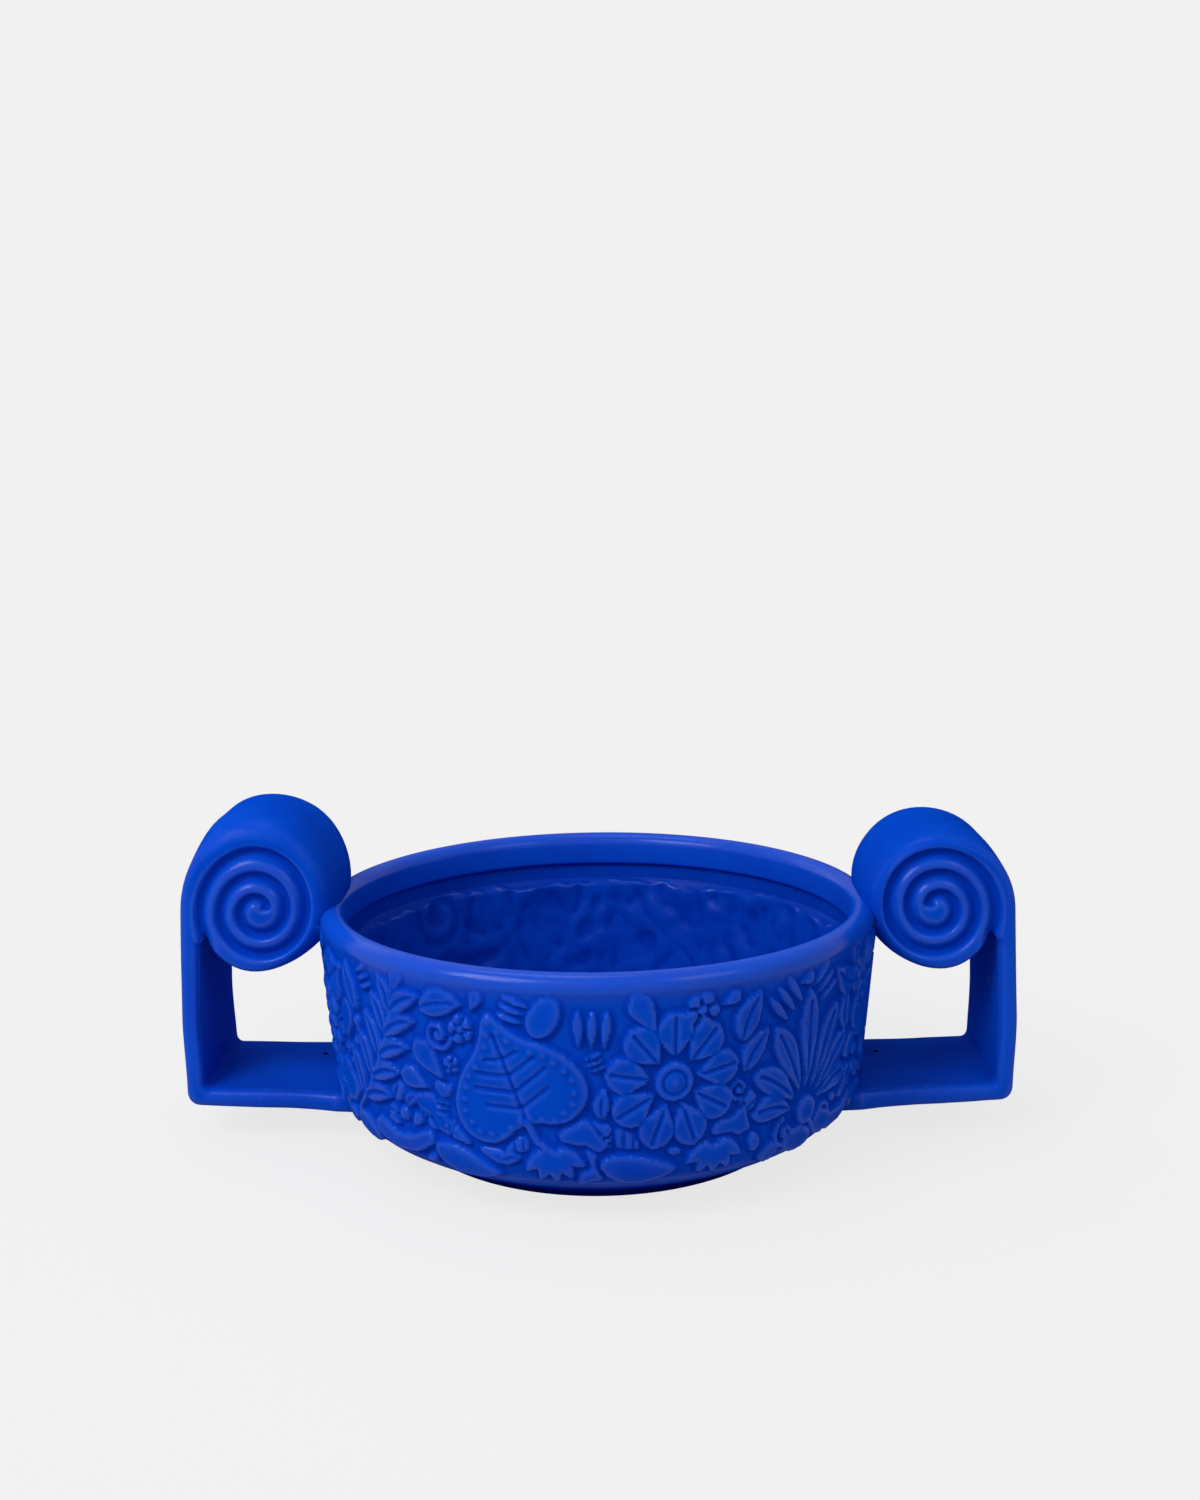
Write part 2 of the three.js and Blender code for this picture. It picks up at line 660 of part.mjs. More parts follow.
const vase = new THREE.Group();
vase.name = 'vase';
vase.add(
  clay('bowl_wall', wall, glaze),
  clay('bowl_floor', solidOf(turned(floorSection())), glaze),
  clay('foot_ring', solidOf(turned(footSection())), bisque),
  clay('rim_band', solidOf(turned(rimSection())), glaze),
);
handles.forEach((h) => {
  vase.add(clay(`${h.name}_handle`, handleSolid(h), glaze));
  vase.add(clay(`${h.name}_scroll_wad`, wadSolid(h), glaze));
});

export default vase;
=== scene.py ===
import math
from functools import lru_cache

import bpy
import numpy as np
from bpy.props import FloatProperty, FloatVectorProperty, IntProperty, PointerProperty
from bpy.types import Operator, Panel, PropertyGroup
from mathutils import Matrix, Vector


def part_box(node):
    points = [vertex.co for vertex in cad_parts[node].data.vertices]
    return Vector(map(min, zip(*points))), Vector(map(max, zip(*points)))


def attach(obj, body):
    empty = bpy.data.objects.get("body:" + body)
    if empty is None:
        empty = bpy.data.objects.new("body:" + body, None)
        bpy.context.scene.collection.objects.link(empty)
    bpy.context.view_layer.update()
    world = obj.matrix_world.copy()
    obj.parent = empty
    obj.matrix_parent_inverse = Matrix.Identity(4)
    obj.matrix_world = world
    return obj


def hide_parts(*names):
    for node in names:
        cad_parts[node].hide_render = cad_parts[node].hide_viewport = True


bl_info = {
    "name": "Bowl Vase",
    "version": (1, 0, 0),
    "blender": (4, 5, 0),
    "location": "View3D > Sidebar > Vase",
    "description": "Dresses the terracotta bowl vase with its moulded frieze, rolled scrolls and blue slip",
    "category": "Object",
}

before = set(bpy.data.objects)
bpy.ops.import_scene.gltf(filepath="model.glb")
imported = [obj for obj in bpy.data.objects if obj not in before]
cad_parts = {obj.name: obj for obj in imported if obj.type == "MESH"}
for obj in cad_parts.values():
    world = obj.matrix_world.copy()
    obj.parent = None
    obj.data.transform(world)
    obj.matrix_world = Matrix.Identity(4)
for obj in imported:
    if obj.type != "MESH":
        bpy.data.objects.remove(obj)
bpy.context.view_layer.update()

MM = 0.001
TAU = 2 * math.pi


# Settings

def cad_corner(node, side, axis):
    """One coordinate of a CAD node's box in metres: side 0 is the low corner, 1 the high one."""
    return float(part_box(node)[side][axis])


def length(name, description, default):
    return FloatProperty(name=name, description=description, default=default, unit="LENGTH")


def number(name, description, default, **kind):
    return FloatProperty(name=name, description=description, default=default, **kind)


def colour(name, description, default):
    return FloatVectorProperty(name=name, description=description, default=default, subtype="COLOR")


class BowlSettings(PropertyGroup):
    rim_radius: length("Rim radius", "Outer radius of the rolled rim", cad_corner("rim_band", 1, 0))
    height: length("Height", "Height of the rim's crest above the table", cad_corner("rim_band", 1, 2))
    rim_thickness: length("Rim thickness", "Width of the rolled rim", 0.0126)
    rim_band: length("Rim band", "Height of the smooth band above the frieze", 0.017)
    rim_proud: length("Rim overhang", "How far the rim stands out past the wall", 0.0026)
    wall_taper: length("Taper", "How far the wall draws in on its way down", 0.0099)
    wall_thickness: length("Wall", "Thickness of the cast wall", 0.007)
    heel_height: length("Heel height", "Height at which wall and underside would meet", 0.0207)
    heel_round: length("Heel rounding", "Radius of the heel", 0.023)
    foot_radius: length("Foot radius", "Outer radius of the foot ring", cad_corner("foot_ring", 1, 0))
    foot_height: length("Foot height", "Height of the foot ring below the bowl", 0.003)
    floor_thickness: length("Floor", "Thickness of the floor", 0.008)
    turns: IntProperty(name="Steps round", description="Mesh steps round the wall", default=850)


class FriezeSettings(PropertyGroup):
    low_edge: length("Lower edge", "Height above the table at which the frieze starts", 0.0225)
    relief: length("Relief", "Height of the moulded pads", 0.0027)
    inside_share: number("Inside share", "How much of the relief shows as hollows inside", 1.25)
    inside_blur: length("Inside blur", "How far the cast wall softens the relief inside", 0.0024)


class HandleSettings(PropertyGroup):
    strap_width: length("Strap width", "Width of the strap from front to back", 0.077)
    strap_thickness: length("Strap thickness", "Thickness of the strap", 0.0096)
    scroll_radius: length("Scroll radius", "Outer radius where the strap starts to roll", 0.0414)
    scroll_pitch: length("Scroll pitch", "How far a coil draws in with each turn", 0.0106)
    scroll_turns: number("Turns inside", "Turns of the coil inside its first", 2.5)
    groove_depth: length("Groove depth", "Depth of the groove between coils", 0.0045)
    eye_height: length("Eye height", "Height of the scroll's eye above the table", 0.121)
    edge: length("Edge", "Rounding of the strap's edges", 0.0038)
    crown_depth: length("Crown depth", "How far in from each end the crown starts to close", 0.026)
    voxel: length("Grain", "Mesh size of the handles", 0.00092)


class SlipSettings(PropertyGroup):
    cobalt: colour("Cobalt", "The slip's main blue", (0.0003, 0.064, 0.56))
    # Deep blue serves for random clouding, and as painted shade in sunken places and under the heel
    deep: colour("Deep blue", "The slip where it lies thick", (0.0002, 0.037, 0.45))
    # Worn blue serves for dust, and on raised edges, which are partly really worn and partly a painted
    # highlight
    pale: colour("Worn blue", "The slip where it is rubbed thin", (0.024, 0.11, 0.66))
    roughness: number("Roughness", "Roughness of the satin skin on the slip", 0.34, subtype="FACTOR")
    skin: number("Skin", "Strength of the satin skin on the slip", 0.03, subtype="FACTOR")


class StageSettings(PropertyGroup):
    paper: number("Backdrop", "Brightness of the backdrop", 0.88)
    key: number("Key light", "Power of the upper left softbox", 13.4, unit="POWER")
    fill: number("Fill", "Brightness of the room", 0.36)
    view_turn: number("View turn", "How far right of the front the camera stands, in degrees", 1.2)
    view_roll: number("View roll", "Lean of the camera, in degrees", 0.65)


def bowl():
    return bpy.context.scene.vase_bowl


def frieze():
    return bpy.context.scene.vase_frieze


def grip():
    return bpy.context.scene.vase_handle


# Mesh helpers

# Points closer than this are merged
WELD = 0.00002


def only(obj):
    """Selects one object and makes it active."""
    bpy.ops.object.select_all(action="DESELECT")
    obj.select_set(True)
    bpy.context.view_layer.objects.active = obj


def points_of(obj, kind="co"):
    """The points of a mesh, or with kind "normal" their normals, as rows of three."""
    values = np.empty(len(obj.data.vertices) * 3)
    obj.data.vertices.foreach_get(kind, values)
    return values.reshape(-1, 3)


def move_points(obj, co):
    obj.data.vertices.foreach_set("co", np.ascontiguousarray(co).ravel())
    obj.data.update()


def modified(obj, name, kind, **settings):
    """Adds a modifier with these settings and applies it."""
    modifier = obj.modifiers.new(name, kind)
    for key, value in settings.items():
        setattr(modifier, key, value)
    only(obj)
    bpy.ops.object.modifier_apply(modifier=name)


def outlined(outline, name, y=0.0, fill="NOTHING"):
    """A closed ring of edges, or one face, through the outline's points in a plane across Y."""
    bpy.ops.object.select_all(action="DESELECT")
    bpy.ops.mesh.primitive_circle_add(vertices=len(outline), radius=0.1, fill_type=fill)
    obj = bpy.context.active_object
    obj.name = obj.data.name = name
    move_points(obj, np.array([(x, y, z) for x, z in outline]))
    return obj


def spun(outline, name, steps):
    """Spins a closed section about Z and leaves a closed mesh with its faces outward."""
    obj = outlined(outline, name)
    modified(obj, "Turn", "SCREW", steps=steps, render_steps=steps, use_merge_vertices=True,
             merge_threshold=WELD)
    bpy.ops.object.mode_set(mode="EDIT")
    bpy.ops.mesh.select_all(action="SELECT")
    bpy.ops.mesh.remove_doubles(threshold=WELD)
    bpy.ops.mesh.normals_make_consistent(inside=False)
    bpy.ops.object.mode_set(mode="OBJECT")
    bpy.ops.object.shade_smooth()
    return obj


def on_part(obj, *nodes, slot="blue_slip"):
    """Hangs a finished piece on the part in place of its CAD nodes."""
    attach(obj, "root")
    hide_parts(*nodes)


def smoothstep(low, high, x):
    t = np.clip((x - low) / (high - low), 0, 1)
    return t * t * (3 - 2 * t)


def arc(before, corner, after, radius, steps):
    """Points of the arc that rounds a corner between two straight stretches."""
    corner = np.array(corner)
    to_before = np.array(before) - corner
    to_after = np.array(after) - corner
    to_before /= np.hypot(*to_before)
    to_after /= np.hypot(*to_after)
    half = math.acos(np.clip(to_before @ to_after, -1, 1)) / 2
    middle = to_before + to_after
    centre = corner + middle / np.hypot(*middle) * radius / math.sin(half)
    start = corner + to_before * radius / math.tan(half) - centre
    end = corner + to_after * radius / math.tan(half) - centre
    sweep = math.atan2(start[0] * end[1] - start[1] * end[0], start @ end)
    turns = [sweep * i / steps for i in range(steps + 1)]
    return [(centre[0] + start[0] * math.cos(t) - start[1] * math.sin(t),
             centre[1] + start[0] * math.sin(t) + start[1] * math.cos(t)) for t in turns]


def way_along(line):
    """The distance from a line's start to each of its points."""
    return np.concatenate([[0], np.cumsum(np.hypot(*np.diff(line, axis=0).T))])


def resampled(points, spacing):
    """The same line with points an even distance apart."""
    line = np.array(points)
    along = way_along(line)
    count = max(2, int(round(along[-1] / spacing)) + 1)
    even = np.linspace(0, along[-1], count)
    return list(zip(np.interp(even, along, line[:, 0]), np.interp(even, along, line[:, 1])))


def wobble(co, size, amount):
    """Slow hand-made unevenness over a surface, in metres."""
    x, y, z = (co / size).T
    wave = (np.sin(1.7 * x + 2.1 * y + 0.4) + np.sin(2.3 * y - 1.3 * z + 1.9)
            + np.sin(1.9 * z + 1.1 * x + 4.2) + 0.6 * np.sin(4.1 * x - 3.7 * y + 2.9 * z))
    return amount * wave / 3.6


# The bowl's lines

# How far the underside's flat starts out from the foot, and where the wall piece starts from there
UNDER_GAP = 1.5 * MM
UNDER_START = 12 * MM


def wall_top():
    """Radius and height of the wall where the rim's smooth band starts."""
    b = bowl()
    return b.rim_radius - b.rim_proud, b.height - b.rim_band


def heel_corner():
    return wall_top()[0] - bowl().wall_taper, bowl().heel_height


def under_edge():
    return bowl().foot_radius + UNDER_GAP, bowl().foot_height


def under_slope():
    (low_x, low_z), (high_x, high_z) = under_edge(), heel_corner()
    return (high_z - low_z) / (high_x - low_x)


def outside_line():
    """The smooth outside from under the heel up to the rim's shoulder."""
    b = bowl()
    low, corner, high = under_edge(), heel_corner(), wall_top()
    start = (low[0] + UNDER_START, low[1] + UNDER_START * under_slope())
    roll = b.rim_thickness / 2
    shoulder = [(b.rim_radius - b.rim_proud * 0.6, b.height - b.rim_band * 0.72)]
    shoulder += [(b.rim_radius - roll + roll * math.cos(a), b.height - roll + roll * math.sin(a))
                 for a in (-0.5, -0.25)]
    return [start] + arc(start, corner, high, b.heel_round, 14) + [high] + shoulder


# The canvas and its tool. Their distances are in millimetres.

# Height of a full pad on the canvas, which the relief setting scales to its real height
PAD = 2.3
# Distances that stand for no pad near a cell, and for a place that a stroke doesn't touch
FAR = 99.0
UNTOUCHED = 9.0


class Canvas:
    """The wall rolled out flat: u runs round it and v up its outside line."""

    def __init__(self, around, tall, step=0.5):
        self.around = around
        self.nu = int(round(around / step))
        self.du = around / self.nu
        self.nv = int(math.ceil(tall / step)) + 1
        self.dv = step
        self.height = np.zeros((self.nv, self.nu))
        self.near = np.full((self.nv, self.nu), FAR)

    def around_at(self, co):
        """Place round the wall of each point of a mesh, from the front."""
        return (np.arctan2(co[:, 1], co[:, 0]) + math.pi / 2) / TAU * self.around

    def sample(self, field, u, v):
        x = (u / self.du) % self.nu
        y = np.clip(v / self.dv, 0, self.nv - 1.001)
        i, j = np.floor(x).astype(int), np.floor(y).astype(int)
        fx, fy = x - i, y - j
        i, k = i % self.nu, (i + 1) % self.nu
        return ((field[j, i] * (1 - fx) + field[j, k] * fx) * (1 - fy)
                + (field[j + 1, i] * (1 - fx) + field[j + 1, k] * fx) * fy)

    def blurred(self, field, spread):
        """The field softened by a bell curve of that spread."""
        fu = np.fft.fftfreq(self.nu, self.du)[None, :]
        tall = np.pad(field, ((self.nv, self.nv), (0, 0)), mode="edge")
        fv = np.fft.fftfreq(tall.shape[0], self.dv)[:, None]
        bell = np.exp(-2 * (math.pi * spread) ** 2 * (fu ** 2 + fv ** 2))
        return np.real(np.fft.ifft2(np.fft.fft2(tall) * bell))[self.nv:2 * self.nv]

    def snapped(self, u, v, reach, outward, spread=0.6, gentlest=0.5):
        """Slides points that lie close to an outline of the relief onto it, which keeps it crisp."""
        level = self.blurred(self.height, spread)
        rise_v, rise_u = np.gradient(level, self.dv, self.du)
        up, by_u, by_v = (self.sample(field, u, v) for field in (level, rise_u, rise_v))
        slope = np.maximum(np.hypot(by_u, by_v), gentlest)
        off = (up - PAD / 2) / slope + outward
        pull = np.where(np.abs(off) < reach, -off / slope, 0)
        return u + pull * by_u, v + pull * by_v


class Tool:
    """A modelling tool held at one place on the canvas, turned, sized and mirrored there."""

    def __init__(self, canvas, u, v, turn=0.0, size=1.0, flip=1, soft=1.25):
        self.canvas, self.u, self.v = canvas, u, v
        self.cos, self.sin = math.cos(math.radians(turn)), math.sin(math.radians(turn))
        self.size, self.flip, self.soft = size, flip, soft

    def spot(self, x, y):
        """Canvas place of a local point."""
        sx, sy = x * self.flip * self.size, y * self.size
        return self.u + sx * self.cos - sy * self.sin, self.v + sx * self.sin + sy * self.cos

    def beside(self, x, y, turn, size):
        """The same tool at one of its local points, turned and sized from there."""
        lean = math.degrees(math.atan2(self.sin, self.cos)) + turn * self.flip
        return Tool(self.canvas, *self.spot(x, y), lean, self.size * size, self.flip)

    def patch(self, x, y, reach, margin=3):
        """Canvas cells round a local point, with each cell's local coordinates."""
        c = self.canvas
        cu, cv = self.spot(x, y)
        reach = (reach + margin) * self.size
        i = np.arange(math.floor((cu - reach) / c.du), math.ceil((cu + reach) / c.du) + 1)
        j = np.arange(max(0, math.floor((cv - reach) / c.dv)),
                      min(c.nv, math.ceil((cv + reach) / c.dv) + 1))
        du, dv = i[None, :] * c.du - self.u, j[:, None] * c.dv - self.v
        lx = (du * self.cos + dv * self.sin) / self.size * self.flip
        ly = (-du * self.sin + dv * self.cos) / self.size
        return np.ix_(j, i % c.nu), lx, ly

    def stretch(self, a, b, reach):
        """Cells round the line from a to b: share of the way along, distance beside it, and its length."""
        (ax, ay), (bx, by) = a, b
        length = math.hypot(bx - ax, by - ay)
        cells, lx, ly = self.patch((ax + bx) / 2, (ay + by) / 2, length / 2 + reach)
        ux, uy = (bx - ax) / length, (by - ay) / length
        return cells, ((lx - ax) * ux + (ly - ay) * uy) / length, (ly - ay) * ux - (lx - ax) * uy, length

    def press(self, cells, d, lift=1.0, soft=1.0):
        """Raises a round-edged pad inside the outline, never sinking what is there."""
        t = np.clip(-d * self.size / (self.soft * soft), 0, 1)
        pad = PAD * lift * np.sqrt(1 - (1 - t) ** 2)
        self.canvas.height[cells] = np.maximum(self.canvas.height[cells], pad)
        self.canvas.near[cells] = np.minimum(self.canvas.near[cells], d * self.size)

    def carve(self, cells, d, depth, width):
        """Cuts a soft groove along the line where d is 0."""
        cut = depth * np.exp(-(d * self.size / width) ** 2)
        self.canvas.height[cells] = np.maximum(self.canvas.height[cells] - cut, 0)

    def swell(self, cells, d, amount, soft=1.6):
        """Adds a raised detail on top of a pad."""
        self.canvas.height[cells] += amount * smoothstep(0, 1, -d * self.size / soft)

    def leaf(self, a, b, width, bow=0.0, belly=0.45, vein=0.0, lift=1.0, tip=0.75):
        """A leaf or petal from a to b, bowed to one side, with a vein if it has one."""
        cells, t, q, length = self.stretch(a, b, width / 2 + abs(bow))
        q = q - bow * 4 * np.clip(t, 0, 1) * (1 - np.clip(t, 0, 1))
        s = np.clip(t, 0, 1) ** (math.log(0.5) / math.log(belly))
        half = width / 2 * np.sin(math.pi * s) ** tip
        over = np.maximum(np.maximum(-t, t - 1), 0) * length
        d = np.hypot(np.maximum(np.abs(q) - half, 0), over) + np.minimum(np.abs(q) - half, 0)
        self.press(cells, d, lift)
        if vein:
            self.carve(cells, np.where((t > 0.05) & (t < 0.9), np.abs(q), UNTOUCHED), vein, 0.75)

    def rod(self, a, b, start, end=None, lift=1.0, groove=0.0):
        """A round-ended bar or groove from a to b, of one radius or tapering to another."""
        end = start if end is None else end
        cells, t, q, length = self.stretch(a, b, max(start, end))
        share = np.clip(t, 0, 1)
        d = np.hypot(q, (t - share) * length)
        if groove:
            self.carve(cells, d, groove, start)
        else:
            self.press(cells, d - (start + (end - start) * share), lift)

    def path(self, points, start, end=None):
        """Bars from point to point, of one radius or tapering to another."""
        end = start if end is None else end
        n = len(points) - 1
        for i in range(n):
            r0, r1 = start + (end - start) * i / n, start + (end - start) * (i + 1) / n
            self.rod(points[i], points[i + 1], r0, r1)

    def dot(self, x, y, radius, lift=1.0, add=0.0, round_top=False):
        cells, lx, ly = self.patch(x, y, radius)
        d = np.hypot(lx - x, ly - y) - radius
        if add:
            self.swell(cells, d, add, soft=radius)
        else:
            self.press(cells, d, lift, soft=radius / self.soft * self.size if round_top else 1.0)

    def oval(self, x, y, rx, ry, turn=0.0):
        cells, lx, ly = self.patch(x, y, max(rx, ry))
        c, s = math.cos(math.radians(turn)), math.sin(math.radians(turn))
        px, py = (lx - x) * c + (ly - y) * s, -(lx - x) * s + (ly - y) * c
        k = np.hypot(px / rx, py / ry) + 1e-6
        self.press(cells, (k - 1) * min(rx, ry))

    def ring(self, x, y, radius, depth, width=0.8, only_right=False):
        """A groove round a circle, or on its right side alone, as on a fish's scale."""
        cells, lx, ly = self.patch(x, y, radius)
        d = np.abs(np.hypot(lx - x, ly - y) - radius)
        if only_right:
            d = np.where(lx - x > 0.2 * radius, d, UNTOUCHED)
        self.carve(cells, d, depth, width)

    def shape(self, points, lift=1.0):
        """A pad inside a closed outline of points, with its corners rounded."""
        p = np.array(points, dtype=float)
        for _ in range(2):
            after = np.roll(p, -1, axis=0)
            p = np.stack([p * 0.75 + after * 0.25, p * 0.25 + after * 0.75], axis=1).reshape(-1, 2)
        centre = (p.min(axis=0) + p.max(axis=0)) / 2
        cells, lx, ly = self.patch(*centre, np.hypot(*(p.max(axis=0) - p.min(axis=0))) / 2)
        best = np.full(lx.shape, np.inf)
        sign = np.ones(lx.shape)
        for (ax, ay), (bx, by) in zip(p, np.roll(p, -1, axis=0)):
            ex, ey = bx - ax, by - ay
            wx, wy = lx - ax, ly - ay
            t = np.clip((wx * ex + wy * ey) / (ex * ex + ey * ey), 0, 1)
            best = np.minimum(best, (wx - ex * t) ** 2 + (wy - ey * t) ** 2)
            crosses = (ay <= ly) != (by <= ly)
            left = ex * wy - wx * ey > 0
            sign = np.where(crosses & (left == (by > ay)), -sign, sign)
        self.press(cells, sign * np.sqrt(best), lift)

    def curl(self, x, y, radius, turns=1.5, start=0.0, way=1, thick=0.33, add=0.0):
        """A round bead that winds in from its radius to a ball at the middle."""
        cells, lx, ly = self.patch(x, y, radius + 1)
        rho = np.hypot(lx - x, ly - y)
        phi = (way * np.arctan2(ly - y, lx - x) - math.radians(start)) % TAU
        pitch = radius / (turns + 0.35)
        best = rho - pitch * 0.42
        for k in range(int(turns) + 1):
            turn = phi + TAU * k
            r = radius - pitch * turn / TAU - pitch * thick
            arm = np.where(turn <= turns * TAU, np.abs(rho - r) - pitch * thick, UNTOUCHED)
            best = np.minimum(best, arm)
        if add:
            self.swell(cells, best, add, soft=1.2)
        else:
            self.press(cells, best, soft=0.8)


# Motifs of the frieze, each about 60 mm across and drawn round its own middle

def at(angle, reach, height=0.0):
    """The point that lies a distance from (0, height), at an angle in degrees from straight up."""
    turn = math.radians(angle)
    return reach * math.sin(turn), height + reach * math.cos(turn)


def round_points(radius, count, start=0.0):
    """Points evenly round a circle, clockwise from a start in radians."""
    return [(radius * math.sin(TAU * k / count + start), radius * math.cos(TAU * k / count + start))
            for k in range(count)]


def spokes(inner, outer, count, start=0.0):
    """Pairs of points, evenly round two circles."""
    return zip(round_points(inner, count, start), round_points(outer, count, start))


def flower(t, inner, outer, count, width, start=0.0, **petal):
    for root, end in spokes(inner, outer, count, start):
        t.leaf(root, end, width, tip=0.55, **petal)


def mirrored(half):
    """A closed outline from its right half."""
    return half + [(-x, y) for x, y in reversed(half) if x]


def rosette(t):
    flower(t, 8.5, 25, 9, 13.5, belly=0.62, vein=1.1)
    t.dot(0, 0, 7.2, lift=1.12)
    t.ring(0, 0, 4.2, 0.9, 0.7)
    t.dot(0, 0, 2.6, add=0.5)


def palmette(t):
    for a in (-78, -52, -26, 0, 26, 52, 78):
        t.leaf(at(a, 8, -24), at(a, 50 - abs(a) * 0.24, -24), 11.5, bow=a * 0.035, belly=0.66, vein=1.0,
               tip=0.6)
    t.dot(0, -24, 6.2, lift=1.1)
    for way in (-1, 1):
        t.curl(way * 13, -30, 7.4, 1.6, start=90, way=-way)
        t.path([(way * 3, -30), (way * 7, -35.5), (way * 13, -37.2)], 1.6)


def heart_leaf(t):
    t.shape(mirrored([(0, 17), (5, 8), (12, 4), (17, -3), (15, -10), (8, -13), (0, -9)]))
    t.rod((0, -9), (0, 12), 0.7, groove=1.1)
    for way in (-1, 1):
        t.rod((0, -7), (way * 11, -7), 0.65, groove=0.9)
        t.rod((0, -3), (way * 10, 2), 0.65, groove=0.9)


def ivy(t):
    t.path([(-30, -30), (-20, -16), (-6, -8), (6, 2), (14, 16), (26, 27)], 1.5)
    for x, y, turn, size in ((-15, 11, 32, 1.0), (17, -13, -150, 1.05), (-1, 30, -20, 0.55),
                             (-24, -34, 150, 0.5)):
        heart_leaf(t.beside(x, y, turn, size))
    t.curl(24, 8, 6.2, 1.6, start=200)
    t.curl(-32, 2, 5.0, 1.5, start=20, way=-1)


def great_leaf(t):
    outline = mirrored([(0, 33), (9, 17), (22, 9), (31, -5), (28, -18), (15, -24), (0, -17)])
    t.shape(outline)
    beads = np.array(outline + outline[:1]) * 0.8 + (0, -0.5)
    for x, y in resampled(beads, 5.2)[:-1]:
        t.dot(x, y, 1.7, add=0.8)
    t.rod((0, -15), (0, 20), 0.8, groove=1.4)
    for way in (-1, 1):
        for y, reach in ((-11, 14), (-4, 16), (3, 13), (10, 8)):
            t.rod((0, y), (way * reach, y + reach * 0.5 - 2), 0.7, groove=1.1)
    t.path([(0, -17), (1, -26), (6, -33)], 2.0, 1.5)


def lotus(t):
    for a, reach, width in ((-62, 36, 10), (62, 36, 10), (-33, 45, 13), (33, 45, 13), (0, 54, 15)):
        t.leaf(at(a, 6, -22), at(a, reach, -22), width, bow=-a * 0.03, belly=0.5, vein=1.1)
    t.shape([(-13, -24), (13, -24), (8, -15), (-8, -15)], lift=1.05)
    t.rod((-12, -28), (12, -28), 2.1)
    for way in (-1, 1):
        t.path([(way * 2, -31), (way * 8, -38), (way * 18, -39)], 2.0, 1.2)
        t.curl(way * 23, -35, 5.2, 1.5, start=-90, way=-way)


def fish(t):
    t.leaf((-26, 0), (22, 0), 27, bow=2.5, belly=0.42, tip=0.62)
    t.leaf((17, 1), (32, 13), 11, bow=-1.5, belly=0.6, vein=0.9)
    t.leaf((17, 0), (32, -12), 11, bow=1.5, belly=0.6, vein=0.9)
    t.leaf((-8, 13), (14, 15), 9, bow=3)
    t.leaf((-4, -10), (8, -19), 8, bow=-1, vein=0.9)
    for k in range(5):
        for y in (-6, 0, 6) if k % 2 else (-3, 3):
            t.ring(-4 + 5 * k, y + 2.2, 3.4, 0.8, 0.6, only_right=True)
    cells, lx, ly = t.patch(-15, 2, 14)
    gill = np.abs(np.hypot(lx + 24, ly - 2) - 12.5)
    t.carve(cells, gill, 1.0, 0.8)
    t.dot(-19, 5.5, 2.2, add=0.8)
    t.ring(-19, 5.5, 3.2, 0.7, 0.6)


def shell(t):
    t.shape([(0, -26)] + [(33 * math.sin(a) * 0.93, -24 + (47 + 1.6 * (k % 2)) * math.cos(a * 0.62))
                          for k, a in enumerate(np.radians(np.linspace(-76, 76, 19)))])
    for a in np.linspace(-58, 58, 11):
        t.rod(at(a, 5, -22), at(a, 48, -22), 0.85, groove=1.3)
    t.rod((-9, -28), (9, -28), 3.4, lift=1.05)


def jug(t):
    t.shape(mirrored([(5, 20), (4, 12), (13, 4), (14, -6), (7, -18), (5, -24), (8, -27)]))
    t.rod((-7, 21), (7, 21), 2.0, lift=1.08)
    for way in (-1, 1):
        t.path([(way * 4, 17), (way * 13, 18), (way * 17, 10), (way * 13.5, 2)], 1.7)
    t.rod((-12, 2), (12, 2), 0.7, groove=1.0)
    t.rod((-12.6, -6), (12.6, -6), 0.7, groove=1.0)
    for x in (-9, -3, 3, 9):
        t.curl(x, -2, 2.7, 1.1, start=180, add=0.7)
    for x in (-4, 0, 4):
        t.rod((x * 1.4, -9), (x * 0.8, -20), 0.6, groove=0.8)


def grapes(t):
    for x, y in ((-14, 8), (-5, 9.5), (4.5, 9.5), (13, 7.5), (-9.5, 1.5), (0, 2), (9, 0.5), (-5, -6),
                 (4.5, -6.5), (0, -14), (-13.5, -4)):
        t.dot(x, y, 4.5, lift=1.25, round_top=True)
    t.path([(0, 12), (1, 18), (6, 23)], 1.7)
    heart_leaf(t.beside(-14, 24, 60, 0.72))
    heart_leaf(t.beside(19, 22, -55, 0.66))
    t.curl(22, 2, 4.6, 1.6, start=90)


def laurel(t):
    t.path([(-20, -32), (-10, -18), (-2, -2), (4, 14), (6, 32)], 1.6, 1.0)
    for k, (x, y) in enumerate(((-14, -24), (-8, -13), (-3, -2), (1, 9), (4, 19))):
        t.leaf((x, y), (x + 20 - k, y + 8 + k), 9.0, bow=2.0, vein=1.0)
        t.leaf((x, y), (x - 12 + k, y + 18 - k), 8.5, bow=-2.0, vein=1.0)
    t.leaf((6, 29), (9, 43), 7, vein=0.8)
    t.dot(13, -20, 3.2, lift=1.2, round_top=True)
    t.dot(-19, 6, 3.0, lift=1.2, round_top=True)


def wave(t):
    t.curl(2, 8, 19, 1.9, start=-100, way=-1, thick=0.36)
    t.path([(-1.0, -10.5), (-14, -15), (-27, -14)], 3.6, 4.6)
    t.path([(-27, -24), (-10, -26), (8, -22), (24, -18)], 3.2, 2.2)
    for x, y, r in ((24, 20, 4.6), (27, 8, 3.6), (21, -5, 3.2)):
        t.curl(x, y, r, 1.3, start=120)
    t.leaf((-26, 6), (-20, 28), 9, bow=3, vein=1.0)
    t.leaf((-17, 26), (-2, 34), 7, bow=1.5, vein=0.9)


